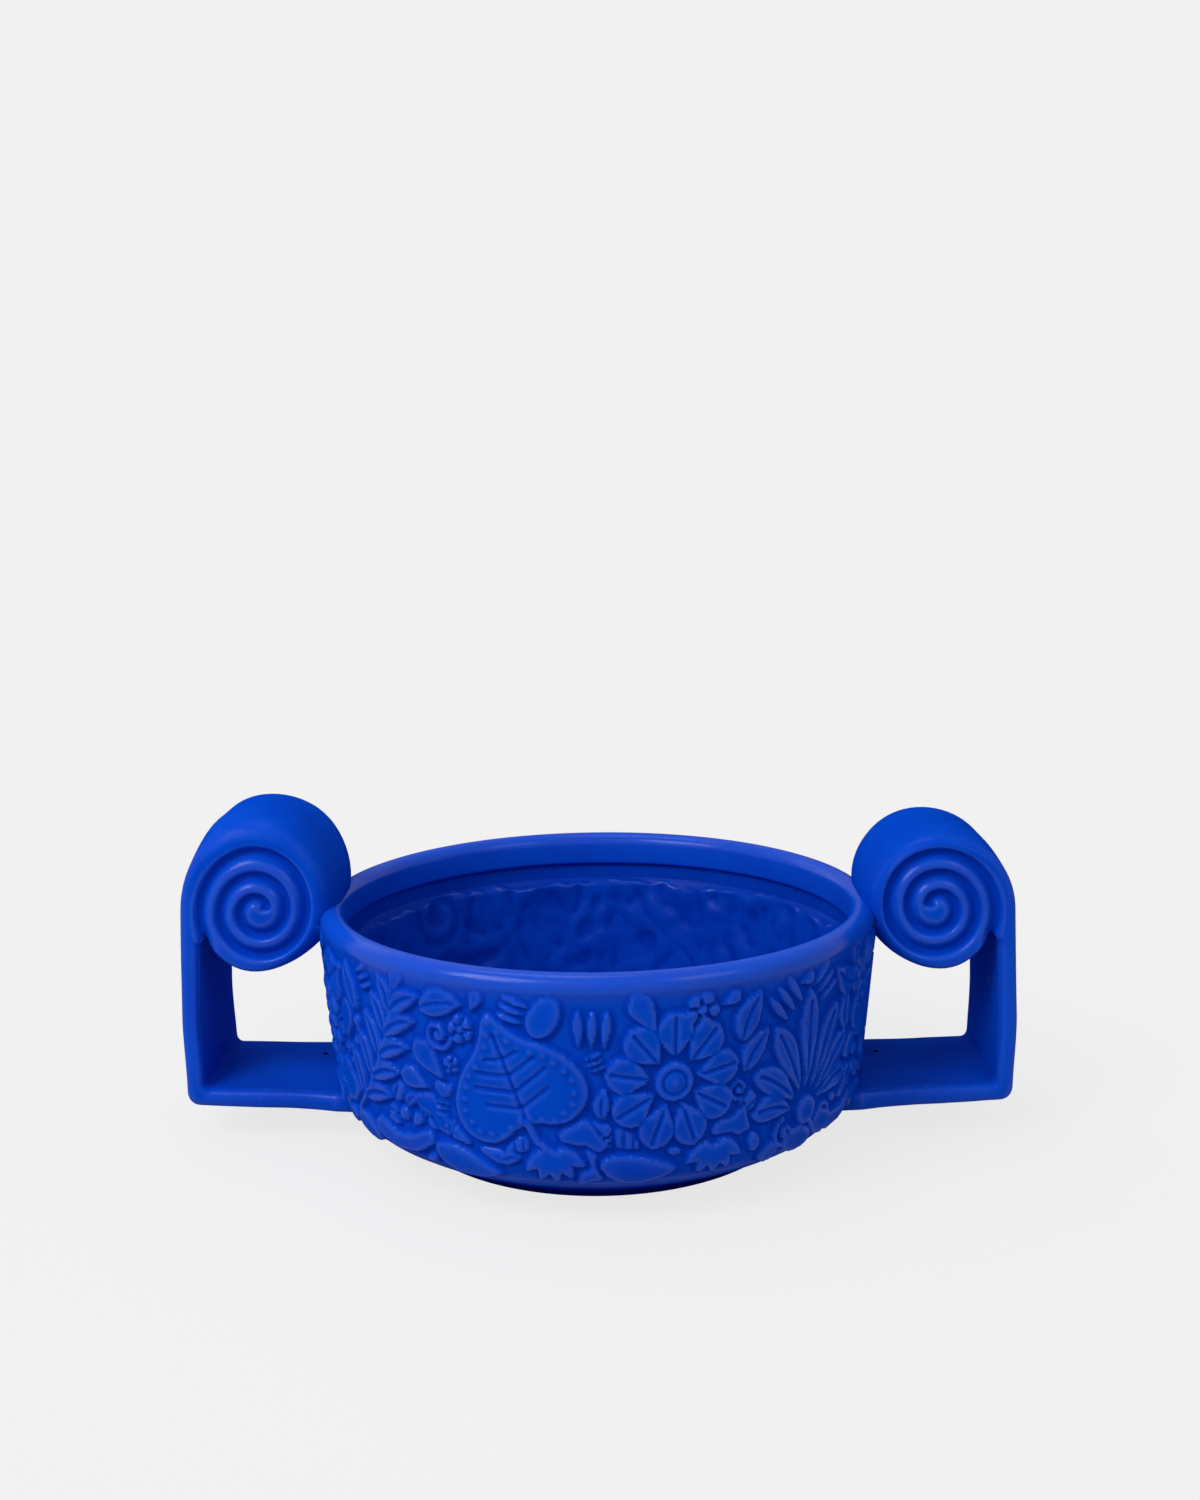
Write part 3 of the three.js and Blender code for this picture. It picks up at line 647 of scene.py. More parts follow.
def medallion(t):
    t.dot(0, 0, 28)
    for radius in (25.6, 17.5):
        t.ring(0, 0, radius, 1.0)
    for k, (x, y) in enumerate(round_points(21.6, 15)):
        t.curl(x, y, 3.6, 1.25, start=-24 * k, add=0.95)
    for root, end in spokes(4.5, 15.2, 8):
        cells, s, q, length = t.stretch(root, end, 2.9)
        half = 2.9 * np.sin(math.pi * np.clip(s, 0, 1)) ** 0.7
        over = np.maximum(np.maximum(-s, s - 1), 0) * length
        t.swell(cells, np.abs(q) - half + over, 0.9, soft=1.2)
    t.dot(0, 0, 3.0, add=1.0)


# Each motif in its order round the wall from the front, with its shift, its turn in degrees and its size
FRIEZE = (
    (rosette, 0, 0, 1.34), (palmette, 1, 3, 1.22), (fish, 0, -16, 1.34), (lotus, 0, 2, 1.16),
    (medallion, -2, 0, 1.24), (ivy, 0, 2, 1.26), (jug, 2, 7, 1.5), (wave, -2, 0, 1.34),
    (shell, 0, 4, 1.3), (grapes, 1, -4, 1.36), (laurel, 0, -8, 1.24), (great_leaf, 0, 20, 1.16),
)
# How far up the frieze, as shares of its height, the motifs' middles lie, the larger fillers start
# and the soft pads end
MIDDLE, FILLED_FROM, PADDED_TO = 0.53, 0.35, 0.62
HEEL_PADS = 22


def heel_pads(canvas, low):
    """Leaves and pebbles that hang over the heel and leave an uneven lower edge."""
    step = canvas.around / HEEL_PADS
    for k in range(HEEL_PADS):
        drop = 2.0 * math.sin(2.4 * k) + 1.0 * math.sin(5.1 * k + 1)
        t = Tool(canvas, (k + 0.5) * step + 3 * math.sin(4.3 * k), low + 7.5 + drop,
                 turn=9 * math.sin(3.1 * k), flip=1 if k % 2 else -1)
        if k % 4 == 0:
            t.leaf((-20, -2), (18, 2), 15, bow=-2.0, belly=0.6, tip=0.5)
        elif k % 4 == 1:
            for a in (126, 153, 180, 207, 234):
                t.leaf(at(a, 3, 10), at(a, 19, 10), 7.6)
        elif k % 4 == 2:
            t.oval(-6, 1, 12, 7.0, 8)
            t.oval(14, -1, 6.5, 5.2, -20)
        else:
            t.path([(-18, 3), (-6, -2), (7, -2), (18, 2)], 5.6, 4.2)


def pads_between(canvas, low, high, rows=4, columns=32, groove=1.1, gap=2.0):
    """Fills the gaps of the frieze with soft flat pads that keep a groove to their neighbours."""
    around = canvas.around
    u = np.arange(canvas.nu)[None, :] * canvas.du
    v = np.arange(canvas.nv)[:, None] * canvas.dv
    # Bent coordinates, so that no groove between two pads runs straight
    bent_u = u + 5.0 * np.sin(v / 9.0) + 3.0 * np.sin(v / 4.3 + u * TAU * 9 / around)
    bent_v = v + 4.0 * np.sin(u * TAU * 23 / around) + 2.2 * np.sin(u * TAU * 57 / around)
    seeds = [((k + 0.5 * (row % 2) + 0.3 * math.sin(7.7 * k + 3 * row)) * around / columns,
              low + (row + 0.45 + 0.28 * math.sin(5.3 * k + row)) * (high - low) / rows)
             for row in range(rows) for k in range(columns)]
    # Distances to the nearest seed, which owns the cell, and to the second nearest
    first = np.full((canvas.nv, canvas.nu), np.inf)
    second = first.copy()
    owner = np.zeros(first.shape, dtype=int)
    for k, (su, sv) in enumerate(seeds):
        across = (bent_u - su + around / 2) % around - around / 2
        d = np.hypot(across, (bent_v - sv) * 1.15)
        closer = d < first
        second = np.where(closer, first, np.minimum(second, d))
        owner = np.where(closer, k, owner)
        first = np.where(closer, d, first)
    # Room inside each pad, then the pad itself with a soft edge, without what is too narrow to model
    edge = low + 1.6 * np.sin(u * TAU * 31 / around) + 1.0 * np.sin(u * TAU * 71 / around + 2)
    top = high - 9 * np.abs(np.sin(owner * 2.1))
    room = np.minimum(np.minimum(canvas.near - gap, (second - first) / 2 - groove),
                      np.minimum(v - edge, top - v))
    wide = canvas.blurred((room > 0).astype(float), 2.2) > 0.52
    soft = canvas.blurred(((room > 0) & wide).astype(float), 1.05)
    pad = smoothstep(0.36, 0.76, soft)
    # Some pads are ribbed across, each at its own slant, and some are left out
    ribbed, bare = owner % 5 == 2, owner % 7 == 3
    slant = np.sin(owner * 12.9)
    ribs = np.exp(-((((u * slant + v * (1 - np.abs(slant))) % 4.6) - 2.3) / 0.75) ** 2)
    lift = PAD * (0.82 + 0.18 * np.sin(owner * 3.3))
    raised = pad * lift * (1 - np.where(ribbed, 0.5 * ribs * smoothstep(0.8, 1.0, pad), 0))
    canvas.height = np.maximum(canvas.height, np.where(bare, 0, raised))
    canvas.near = np.where((pad > 0.3) & ~bare, np.minimum(canvas.near, 0.5), canvas.near)


def fillers(canvas, count, low, high, widest, gap=1.8, roomy=4):
    """Sets leaves, buds, curls and small flowers where the wall is still bare, widest places first."""
    heights = np.arange(canvas.nv) * canvas.dv
    edge = np.minimum(heights - low, high - heights)[:, None] + 0.5
    for k in range(count):
        free = np.minimum(canvas.near, edge)
        j, i = np.unravel_index(np.argmax(free), free.shape)
        room = min(free[j, i] - gap, widest)
        if room < gap:
            break
        t = Tool(canvas, i * canvas.du, heights[j], turn=(k * 67) % 180)
        kind = k % 6 if room > roomy else 1 + k % 2 * 4
        if kind == 0:
            t.curl(0, 0, room, 1.6, start=(k * 90) % 360, way=1 if k % 2 else -1)
        elif kind == 1:
            t.leaf((-room * 1.35, 0), (room * 1.35, 0), room * 1.5, bow=room * 0.2,
                   vein=0.9 if room > roomy else 0)
        elif kind == 2:
            t.leaf((-room * 1.3, 0), (room * 1.3, 0), room * 1.5, belly=0.68, tip=0.6)
        elif kind == 3:
            flower(t, room * 0.25, room, 5, room * 0.85, k, belly=0.65)
            t.dot(0, 0, room * 0.3, lift=1.1)
        elif kind == 4:
            for y in (-0.62, 0, 0.62):
                t.leaf((-room * 0.95, y * room), (room * 0.95, y * room * 1.15), room * 0.55, belly=0.6,
                       tip=0.5)
        else:
            t.oval(0, 0, room * 1.15, room * 0.8)


@lru_cache(maxsize=1)
def frieze_canvas(around, low, tall):
    """The whole frieze, modelled between two heights on a canvas of these sizes."""
    canvas = Canvas(around, tall)
    spacing, height = around / len(FRIEZE), tall - low
    for k, (motif, shift, turn, size) in enumerate(FRIEZE):
        motif(Tool(canvas, (k + 0.5) * spacing + shift, low + height * MIDDLE, turn=turn, size=size))
    heel_pads(canvas, low)
    fillers(canvas, 56, low + height * FILLED_FROM, tall, 9.5)
    pads_between(canvas, low, low + height * PADDED_TO)
    fillers(canvas, 64, low + 2, tall, 4.5)
    return canvas


# The wall's mesh

def wall_line():
    """The outside line, fine over the frieze and coarser below it, with its arc length."""
    line = np.array(resampled(outside_line(), 0.2 * MM))
    along = way_along(line)
    low, high = frieze_reach(line, along)
    stops = np.concatenate([np.linspace(0, low - 3 * MM, 5), np.linspace(low - 2 * MM, high, 89),
                            [along[-1]]])
    return np.stack([np.interp(stops, along, axis) for axis in line.T], axis=1), stops


def frieze_reach(line, along):
    """Arc lengths at which the frieze starts under the heel and ends in the rim's band."""
    return float(np.interp(frieze().low_edge, line[:, 1], along)), float(along[-1] - MM)


def modelled_canvas(line, along):
    """The frieze's canvas, and the arc lengths in millimetres between which it is modelled."""
    low, high = (reach / MM for reach in frieze_reach(line, along))
    return frieze_canvas(TAU * wall_top()[0] / MM, low, high), low, high


def bowl_section():
    """Wall and rim as one closed section: outside, rolled rim, inner face, and the hidden back."""
    b = bowl()
    line, _ = wall_line()
    roll = b.rim_thickness / 2
    centre = (b.rim_radius - roll, b.height - roll)
    crest = [(centre[0] + roll * math.cos(a), centre[1] + roll * math.sin(a))
             for a in np.linspace(0.0, math.pi, 10)]
    inner = b.rim_radius - b.rim_thickness
    foot = wall_top()[1] - 1.7 * MM
    lip = arc((inner, centre[1]), (inner, foot), (inner + 4 * MM, foot), 2.4 * MM, 4)
    heel_x, heel_z = heel_corner()
    low_x, low_z = line[0]
    hidden = [(inner + 4.0 * MM, foot), (inner + 4.4 * MM, foot - 12 * MM),
              (heel_x - 3.2 * MM, heel_z + b.heel_round * 0.8),
              (heel_x - b.heel_round * 0.55, heel_z - 3 * MM),
              (low_x + 1.5 * MM, low_z + 3.4 * MM), (low_x - 1.0 * MM, low_z + 2.2 * MM)]
    return [tuple(p) for p in line] + crest + lip + hidden


def relief_on(co, canvas, line, along):
    """Each point's place on the canvas, the outward direction there, and whether it lies on the line."""
    r = np.hypot(co[:, 0], co[:, 1])
    step = np.array([np.argmin((line[:, 0] - a) ** 2 + (line[:, 1] - c) ** 2) for a, c in zip(r, co[:, 2])])
    gap = np.hypot(line[step, 0] - r, line[step, 1] - co[:, 2])
    tangent = np.gradient(line, axis=0)
    tangent /= np.hypot(*tangent.T)[:, None]
    out = np.stack([tangent[step, 1], -tangent[step, 0]], axis=1)
    return canvas.around_at(co), along[step] / MM, out, gap < 0.2 * MM


# Slip, the satin blue finish

def proud_attribute(obj, name, rounds, strength):
    """Stores how far each point stands out of its surroundings, with 0.5 for level ground."""
    mesh = obj.data
    co, no = points_of(obj), points_of(obj, "normal")
    ends = np.empty(len(mesh.edges) * 2, dtype=np.int64)
    mesh.edges.foreach_get("vertices", ends)
    a, b = ends.reshape(-1, 2).T
    count = np.bincount(ends, minlength=len(co))[:, None]
    value = co.copy()
    for _ in range(rounds):
        total = np.stack([np.bincount(a, value[b, k], len(co)) + np.bincount(b, value[a, k], len(co))
                          for k in range(3)], axis=1)
        value = total / np.maximum(count, 1)
    bulge = np.einsum("ij,ij->i", co - value, no) / (strength * MM)
    layer = mesh.attributes.new(name, "FLOAT", "POINT")
    layer.data.foreach_set("value", np.clip(0.5 + bulge, 0, 1).astype(np.float32))


class Graph:
    """A shader tree that is written as a list of steps, each with its inputs."""

    def __init__(self, tree):
        tree.nodes.clear()
        self.tree = tree

    def put(self, value, socket):
        """Links an output to a socket, or sets the socket to a constant."""
        if isinstance(value, bpy.types.NodeSocket):
            self.tree.links.new(value, socket)
        else:
            socket.default_value = value

    def add(self, kind, **values):
        """A new node of that kind, with its settings and inputs by name."""
        column, row = divmod(len(self.tree.nodes), 5)
        n = self.tree.nodes.new(kind)
        n.location = (220 * column, -260 * row)
        for key, value in values.items():
            if key in n.inputs:
                self.put(value, n.inputs[key])
            else:
                setattr(n, key, value)
        return n

    def maths(self, operation, *values):
        n = self.add("ShaderNodeMath", operation=operation)
        for value, socket in zip(values, n.inputs):
            self.put(value, socket)
        return n.outputs["Value"]

    def ramp(self, source, low, high, at_low=0.0, at_high=1.0):
        """Runs smoothly from one value to another while the source goes from low to high."""
        labels = {"From Min": low, "From Max": high, "To Min": at_low, "To Max": at_high}
        return self.add("ShaderNodeMapRange", interpolation_type="SMOOTHSTEP", Value=source,
                        **labels).outputs["Result"]

    def noise(self, place, scale, detail, rough=0.5):
        return self.add("ShaderNodeTexNoise", Vector=place, Scale=scale, Detail=detail,
                        Roughness=rough).outputs["Fac"]

    def mix(self, factor, a, b):
        """Colour a turning to colour b."""
        n = self.add("ShaderNodeMix", data_type="RGBA", Factor=factor)
        self.put(a, n.inputs[6])
        self.put(b, n.inputs[7])
        return n.outputs[2]

    def mix_shader(self, factor, a, b):
        n = self.add("ShaderNodeMixShader", Fac=factor)
        self.put(a, n.inputs[1])
        self.put(b, n.inputs[2])
        return n.outputs["Shader"]

    def rgb(self, *colour):
        n = self.add("ShaderNodeRGB")
        n.outputs[0].default_value = (*colour, 1)
        return n.outputs[0]


MOTTLING = "Slip Mottling"
MOTTLING_SOCKETS = (
    ("INPUT", "NodeSocketColor", ("Cobalt", "Deep", "Pale")),
    ("INPUT", "NodeSocketFloat", ("Roughness", "Dust", "Wear", "Pooled", "Polish From", "Polish To")),
    ("OUTPUT", "NodeSocketColor", ("Color",)),
    ("OUTPUT", "NodeSocketFloat", ("Roughness", "Height", "Polish")),
)
# Heights in metres between which the wall turns deep blue under the heel as painted shade, and below which
# no crest shines
UNDER_SHADE_FROM, UNDER_SHADE_TO = 0.021, 0.013
DULL_BELOW, SHINY_ABOVE = 0.013, 0.024
CHALK = (0.55, 0.62, 0.8)
# Near-black painted shade for the inside of the vent
VENT_PAINTED_SHADE = (0.0003, 0.003, 0.02)


def mottling_group():
    """Mottled slip: colour, roughness, height and polish from noise, raised edges and pinholes, with
    painted shade in sunken places, under the heel and in the vent, and a painted highlight on raised edges.
    """
    if MOTTLING in bpy.data.node_groups:
        return bpy.data.node_groups[MOTTLING]
    tree = bpy.data.node_groups.new(MOTTLING, "ShaderNodeTree")
    for in_out, kind, labels in MOTTLING_SOCKETS:
        for label in labels:
            tree.interface.new_socket(label, in_out=in_out, socket_type=kind)
    g = Graph(tree)
    given = g.add("NodeGroupInput").outputs
    place = g.add("ShaderNodeTexCoord").outputs["Object"]
    level = g.add("ShaderNodeSeparateXYZ", Vector=place).outputs["Z"]
    wear = g.add("ShaderNodeAttribute", attribute_name="wear").outputs["Fac"]
    ridge = g.add("ShaderNodeAttribute", attribute_name="ridge").outputs["Fac"]

    clouds = g.ramp(g.noise(place, 26.0, 4.0), 0.36, 0.7)
    fine = g.ramp(g.noise(place, 420.0, 3.0), 0.35, 0.75)
    grain = g.noise(place, 1500.0, 2.0, 0.6)
    dusty = g.maths("MULTIPLY", g.ramp(g.noise(place, 90.0, 6.0, 0.7), 0.56, 0.74), given["Dust"])
    raised = g.ramp(wear, 0.56, 0.95)
    # Sunken places, which turn towards the deep blue as painted shade
    sunk = g.ramp(wear, 0.46, 0.18)
    # Raised edges turn pale: partly really worn, partly a painted highlight along the ridges
    rubbed_and_highlit = g.maths("MULTIPLY", raised, g.maths("MULTIPLY_ADD", fine, 0.35, 0.65))
    rubbed_and_highlit = g.maths("MULTIPLY", rubbed_and_highlit, given["Wear"])
    # Painted shade: the wall turns deep blue low under the heel
    pooled = g.maths("MULTIPLY", g.ramp(level, UNDER_SHADE_FROM, UNDER_SHADE_TO), given["Pooled"])
    holes = g.add("ShaderNodeTexVoronoi", Vector=place, Scale=52.0, Randomness=1.0).outputs
    chance = g.add("ShaderNodeSeparateColor", Color=holes["Color"]).outputs["Red"]
    pin = g.maths("MULTIPLY", g.ramp(holes["Distance"], 0.034, 0.016), g.ramp(chance, 0.8, 0.82))

    body = g.mix(g.maths("MULTIPLY", clouds, 0.45), given["Cobalt"], given["Deep"])
    body = g.mix(g.maths("MULTIPLY", sunk, 0.8), body, given["Deep"])
    body = g.mix(g.maths("ADD", rubbed_and_highlit, dusty), body, given["Pale"])
    body = g.mix(pooled, body, given["Deep"])
    body = g.mix(g.maths("MULTIPLY", pin, 0.8), body, g.rgb(*CHALK))
    # Painted shade: the vent's inside turns near black
    body = g.mix(g.ramp(wear, 0.0, -0.7), body, g.rgb(*VENT_PAINTED_SHADE))

    handled = g.ramp(level, given["Polish From"], given["Polish To"])
    handled = g.maths("MULTIPLY", handled, g.maths("MULTIPLY_ADD", clouds, 0.5, 0.6))
    crests = g.maths("MULTIPLY", g.ramp(ridge, 0.6, 1.0), 0.3)
    crests = g.maths("MAXIMUM", crests, g.maths("MULTIPLY", raised, 0.75))
    crests = g.maths("MULTIPLY", crests, g.ramp(level, DULL_BELOW, SHINY_ABOVE))

    rough = g.maths("ADD", g.maths("MULTIPLY_ADD", fine, 0.1, -0.05), given["Roughness"])
    rough = g.maths("ADD", rough, g.maths("MULTIPLY", dusty, 0.18))
    rough = g.maths("SUBTRACT", rough, g.maths("MULTIPLY", crests, 0.16))
    height = g.maths("MULTIPLY_ADD", grain, 0.13, g.maths("MULTIPLY", fine, 0.12))
    height = g.maths("SUBTRACT", height, g.maths("MULTIPLY", pin, 3.0))
    g.add("NodeGroupOutput", Color=body, Roughness=rough, Height=height,
          Polish=g.maths("MAXIMUM", handled, crests))
    return tree


def new_material(name):
    material = bpy.data.materials.new(name)
    material.use_nodes = True
    return material, Graph(material.node_tree)


def slip_material(name, dust, wear, grain=0.00012, darker=(1, 1, 1), rougher=0.0, gloss=0.0,
                  polished=(1.0, 1.1), polish=0.42, pooled=0.0):
    """Satin cobalt slip over terracotta, with its own share of dust, worn and painted-highlight edges,
    painted shade, grain and handled shine.
    """
    s = bpy.context.scene.vase_slip
    material, g = new_material(name)
    colours = {label: (*(c * d for c, d in zip(value, darker)), 1.0)
               for label, value in (("Cobalt", s.cobalt), ("Deep", s.deep), ("Pale", s.pale))}
    zone = dict(zip(("Polish From", "Polish To"), polished))
    blend = g.add("ShaderNodeGroup", node_tree=mottling_group(), Roughness=s.roughness + rougher,
                  Dust=dust, Wear=wear, Pooled=pooled, **colours, **zone).outputs
    shine = g.maths("MULTIPLY_ADD", blend["Polish"], polish, s.skin + gloss)
    facing = g.add("ShaderNodeLayerWeight", Blend=0.5).outputs["Facing"]
    skin = g.maths("MULTIPLY", shine, g.ramp(facing, 0.45, 0.95, 1.0, 0.06))
    bump = g.add("ShaderNodeBump", Strength=0.3, Distance=grain, Height=blend["Height"]).outputs["Normal"]
    clay = g.add("ShaderNodeBsdfPrincipled", **{
        "Base Color": blend["Color"], "Roughness": 0.9, "Specular IOR Level": 0.0, "Normal": bump,
        "Coat Weight": skin, "Coat Roughness": blend["Roughness"], "Coat Normal": bump})
    g.add("ShaderNodeOutputMaterial", Surface=clay.outputs["BSDF"])
    material.diffuse_color = (*s.cobalt, 1.0)
    return material


def slipped(obj, name, fine, broad, **look):
    """Stores small edges and hollows as wear and whole ridges as ridge, and gives the piece a slip of its
    own.
    """
    proud_attribute(obj, "wear", 3, fine)
    proud_attribute(obj, "ridge", 14, broad)
    obj.data.materials.clear()
    obj.data.materials.append(slip_material(name, **look))


# Handles, modelled on the side of +X

# Each side's direction, the height of the arm's outer corner, how far the crown is drawn up, and how
# far it is filled out in millimetres at the places in SWELLS
SIDES = {"left": (-1, 27.5 * MM, 0.3, (3.0, 1.2, 3.6)), "right": (1, 29 * MM, 0.03, (1.8, -1.0, 0.8))}
# Turn and spread in radians of the swellings: the outer shoulder, the inner one and the cheek
SWELLS = ((0.87, 0.5), (2.4, 0.45), (3.1, 0.6))
# Turn at which the scroll's outside reaches the crease under it
CREASE_TURN = TAU * 0.93
# The arm's top and underside where it leaves the bowl, its thickness at the outer corner, how far in
# its root starts, and the height below which a point belongs to the arm
ARM_TOP, ARM_UNDER, CORNER_THICKNESS = 25.5 * MM, 14.9 * MM, 8.8 * MM
ROOT_START = 10 * MM
ARM_BELOW = 60 * MM
# The lip that stands between the crown and the outermost groove
LIP = 2.8 * MM
# How far the strap's outer foot leans in, the arm widens at the bowl, its root lies in the wall, and
# the luting slip spreads out and up from the wall
LEAN, FLARE, SUNK, LUTE_OUT, LUTE_UP = 2.8 * MM, 3.0 * MM, 3.6 * MM, 1.7 * MM, 4.5 * MM
# The vent in the arm's top: its distance from the wall and behind the middle, and its sizes
VENT_OUT, VENT_BACK = 6 * MM, 17 * MM
VENT_RADIUS, VENT_DEPTH, VENT_HEIGHT = 1.35 * MM, 16 * MM, 26.5 * MM


def eye_place():
    """Distance of the scroll's eye from the bowl's axis, and its height."""
    return cad_corner("right_handle", 1, 0) - grip().scroll_radius, grip().eye_height


def coil_radius(turn):
    return grip().scroll_radius - grip().scroll_pitch * turn / TAU


def crown_point(turn, side):
    """Outline of the scroll's outer coil: stretched upward and filled out at the shoulders."""
    ex, ez = eye_place()
    _, _, stretch, amounts = SIDES[side]
    radius = coil_radius(turn)
    for amount, (place, spread) in zip(amounts, SWELLS):
        radius += amount * MM * math.exp(-((turn - place) / spread) ** 2)
    lift = 1 + stretch if math.sin(turn) > 0 else 1
    return ex + radius * math.cos(turn), ez + radius * math.sin(turn) * lift


def handle_outline(side):
    """Side outline of strap and scroll, anticlockwise."""
    h, b = grip(), bowl()
    corner_top = SIDES[side][1]
    ex, ez = eye_place()
    outer = ex + h.scroll_radius
    inner = outer - h.strap_thickness
    start = wall_top()[0] - b.wall_taper - b.heel_round
    root = start + ROOT_START

    def top(x):
        return x, np.interp(x, [start, outer], [ARM_TOP, corner_top])

    def under(x):
        return x, np.interp(x, [start, outer], [ARM_UNDER, corner_top - CORNER_THICKNESS])

    stops = (root, root + 25 * MM, inner - 12 * MM)
    line = [under(x) for x in stops]
    line += arc(under(root), under(outer), (outer, ez), 7 * MM, 6)
    line += [(outer, ez - h.scroll_radius * k) for k in (1.4, 0.8)]
    line += [crown_point(turn, side) for turn in np.linspace(0, CREASE_TURN, 65)]
    crease = line[-1][1]
    line.append((inner, crease - 4 * MM))
    line += [(inner, z) for z in np.linspace(crease - 14 * MM, corner_top + 12 * MM, 3)]
    line += arc((inner, ez), top(inner), top(root), 3.5 * MM, 4)
    return line + [top(x) for x in reversed(stops)]


def handle_blank(side):
    """Strap and scroll as a slab across Y with rounded edges, fine enough to model on."""
    h = grip()
    half = h.strap_width / 2
    obj = outlined(handle_outline(side), f"{side}_scroll_handle", -half, "NGON")
    only(obj)
    bpy.ops.object.mode_set(mode="EDIT")
    bpy.ops.mesh.select_all(action="SELECT")
    bpy.ops.mesh.extrude_region_move(TRANSFORM_OT_translate={"value": (0, 2 * half, 0)})
    bpy.ops.mesh.select_all(action="SELECT")
    bpy.ops.mesh.normals_make_consistent(inside=False)
    bpy.ops.object.mode_set(mode="OBJECT")
    co = points_of(obj)
    weight = obj.data.attributes.new("bevel_weight_edge", "FLOAT", "EDGE")
    for edge in obj.data.edges:
        a, b = (co[v] for v in edge.vertices)
        weight.data[edge.index].value = 1.0 if abs(a[1] - b[1]) < half else 0.0
    modified(obj, "Edges", "BEVEL", limit_method="WEIGHT", width=h.edge, segments=5,
             use_clamp_overlap=False)
    modified(obj, "Grain", "REMESH", mode="VOXEL", voxel_size=h.voxel)
    move_points(obj, crown_rounded(points_of(obj), side, h.crown_depth))
    modified(obj, "Relax", "SMOOTH", factor=0.5, iterations=8)
    return obj


def crown_rounded(co, side, depth):
    """Draws the crown down towards the groove's lip at both ends, so that it closes in a dome."""
    ex, ez = eye_place()
    half = grip().strap_width / 2
    dx, dz = co[:, 0] - ex, co[:, 2] - ez
    rho, phi = np.hypot(dx, dz), np.arctan2(dz, dx) % TAU
    stretch = SIDES[side][2]
    edge = np.array([crown_point(t, side) for t in np.linspace(0, CREASE_TURN, 90)]) - (ex, ez)
    outer = np.interp(phi, np.arctan2(edge[:, 1], edge[:, 0]) % TAU, np.hypot(*edge.T))
    lip = coil_radius(phi + TAU) + 0.5 * MM
    lip = lip * (1 + 0.33 * stretch * np.maximum(np.sin(phi), 0)) + LIP
    share = smoothstep(0.2, 0.8, np.sin(phi / 2 + 0.35)) * smoothstep(0, 1.1, phi)
    share *= (rho < outer + 3 * MM) * (rho > lip)
    t = np.clip((np.abs(co[:, 1]) - (half - depth)) / depth, 0, 1) * 0.985
    keep = 1 - share * 0.88 * (1 - np.sqrt(1 - t * t))
    drawn = (lip + (rho - lip) * keep) / np.maximum(rho, 1e-6)
    drawn = np.where(share > 0, drawn, 1)
    return np.stack([ex + dx * drawn, co[:, 1], ez + dz * drawn], axis=1)


def leaning(co):
    """Draws the strap's outer foot in towards the bowl."""
    outer = cad_corner("right_handle", 1, 0)
    low = smoothstep(66 * MM, 22 * MM, co[:, 2])
    co[:, 0] -= LEAN * low * smoothstep(outer - 30 * MM, outer - 4 * MM, co[:, 0])
    return co


def flared(co):
    """Widens the arm a little where it meets the bowl."""
    away = np.clip((co[:, 0] - heel_corner()[0]) / (40 * MM), 0, 1)
    low = smoothstep(ARM_BELOW, 40 * MM, co[:, 2])
    half = grip().strap_width / 2
    co[:, 1] *= 1 + (FLARE / half) * (1 - away) ** 3 * low
    return co


def seated(co, line):
    """Ends the arm inside the clay of the wall."""
    r = np.hypot(co[:, 0], co[:, 1])
    least = np.interp(co[:, 2], line[:, 1], line[:, 0]) - SUNK
    grow = np.where((co[:, 2] < ARM_BELOW) & (r < least), least / np.maximum(r, 1e-6), 1)
    co[:, :2] *= grow[:, None]
    return co


def scroll_depth(co, side):
    """Depth of the groove between the coils at each point of the scroll's faces."""
    h = grip()
    ex, ez = eye_place()
    dx, dz = co[:, 0] - ex, co[:, 2] - ez
    lift = 1 + SIDES[side][2] * 0.35 * smoothstep(8 * MM, 34 * MM, np.hypot(dx, dz))
    dz = np.where(dz > 0, dz / lift, dz)
    rho = np.hypot(dx, dz)
    phi = np.arctan2(dz, dx) % TAU
    last = TAU * (1 + h.scroll_turns)
    depth = np.zeros(len(co))
    for k in range(int(h.scroll_turns) + 2):
        turn = phi + TAU * k
        within = coil_radius(turn) + 0.5 * MM - rho
        reach = np.where(within > 0, 0.6, 0.3) * h.scroll_pitch
        cut = 0.5 + 0.5 * np.cos(math.pi * np.clip(within / reach, -1, 1))
        fade = smoothstep(CREASE_TURN - 0.35, CREASE_TURN + 0.05, turn)
        fade = fade * smoothstep(last + 0.1, last - 0.5, turn)
        depth = np.maximum(depth, h.groove_depth * cut * fade)
    return depth


def fillet_to_bowl(co, no, line):
    """Draws the clay out a little where it meets the bowl, as luting slip does."""
    r = np.hypot(co[:, 0], co[:, 1])
    wall = np.interp(co[:, 2], line[:, 1], line[:, 0])
    gap = np.where(co[:, 2] < line[-1, 1], r - wall, np.inf)
    t = np.clip(1 - gap / LUTE_UP, 0, 1)
    radial = np.stack([co[:, 0] / r, co[:, 1] / r, np.zeros(len(r))], axis=1)
    aside = no - radial * np.einsum("ij,ij->i", no, radial)[:, None]
    size = np.linalg.norm(aside, axis=1)
    aside = np.where(size[:, None] > 0.3, aside / np.maximum(size, 1e-6)[:, None], 0)
    return co + aside * (LUTE_OUT * t * t)[:, None]


def vent_place(way):
    return way * (wall_top()[0] + VENT_OUT), VENT_BACK


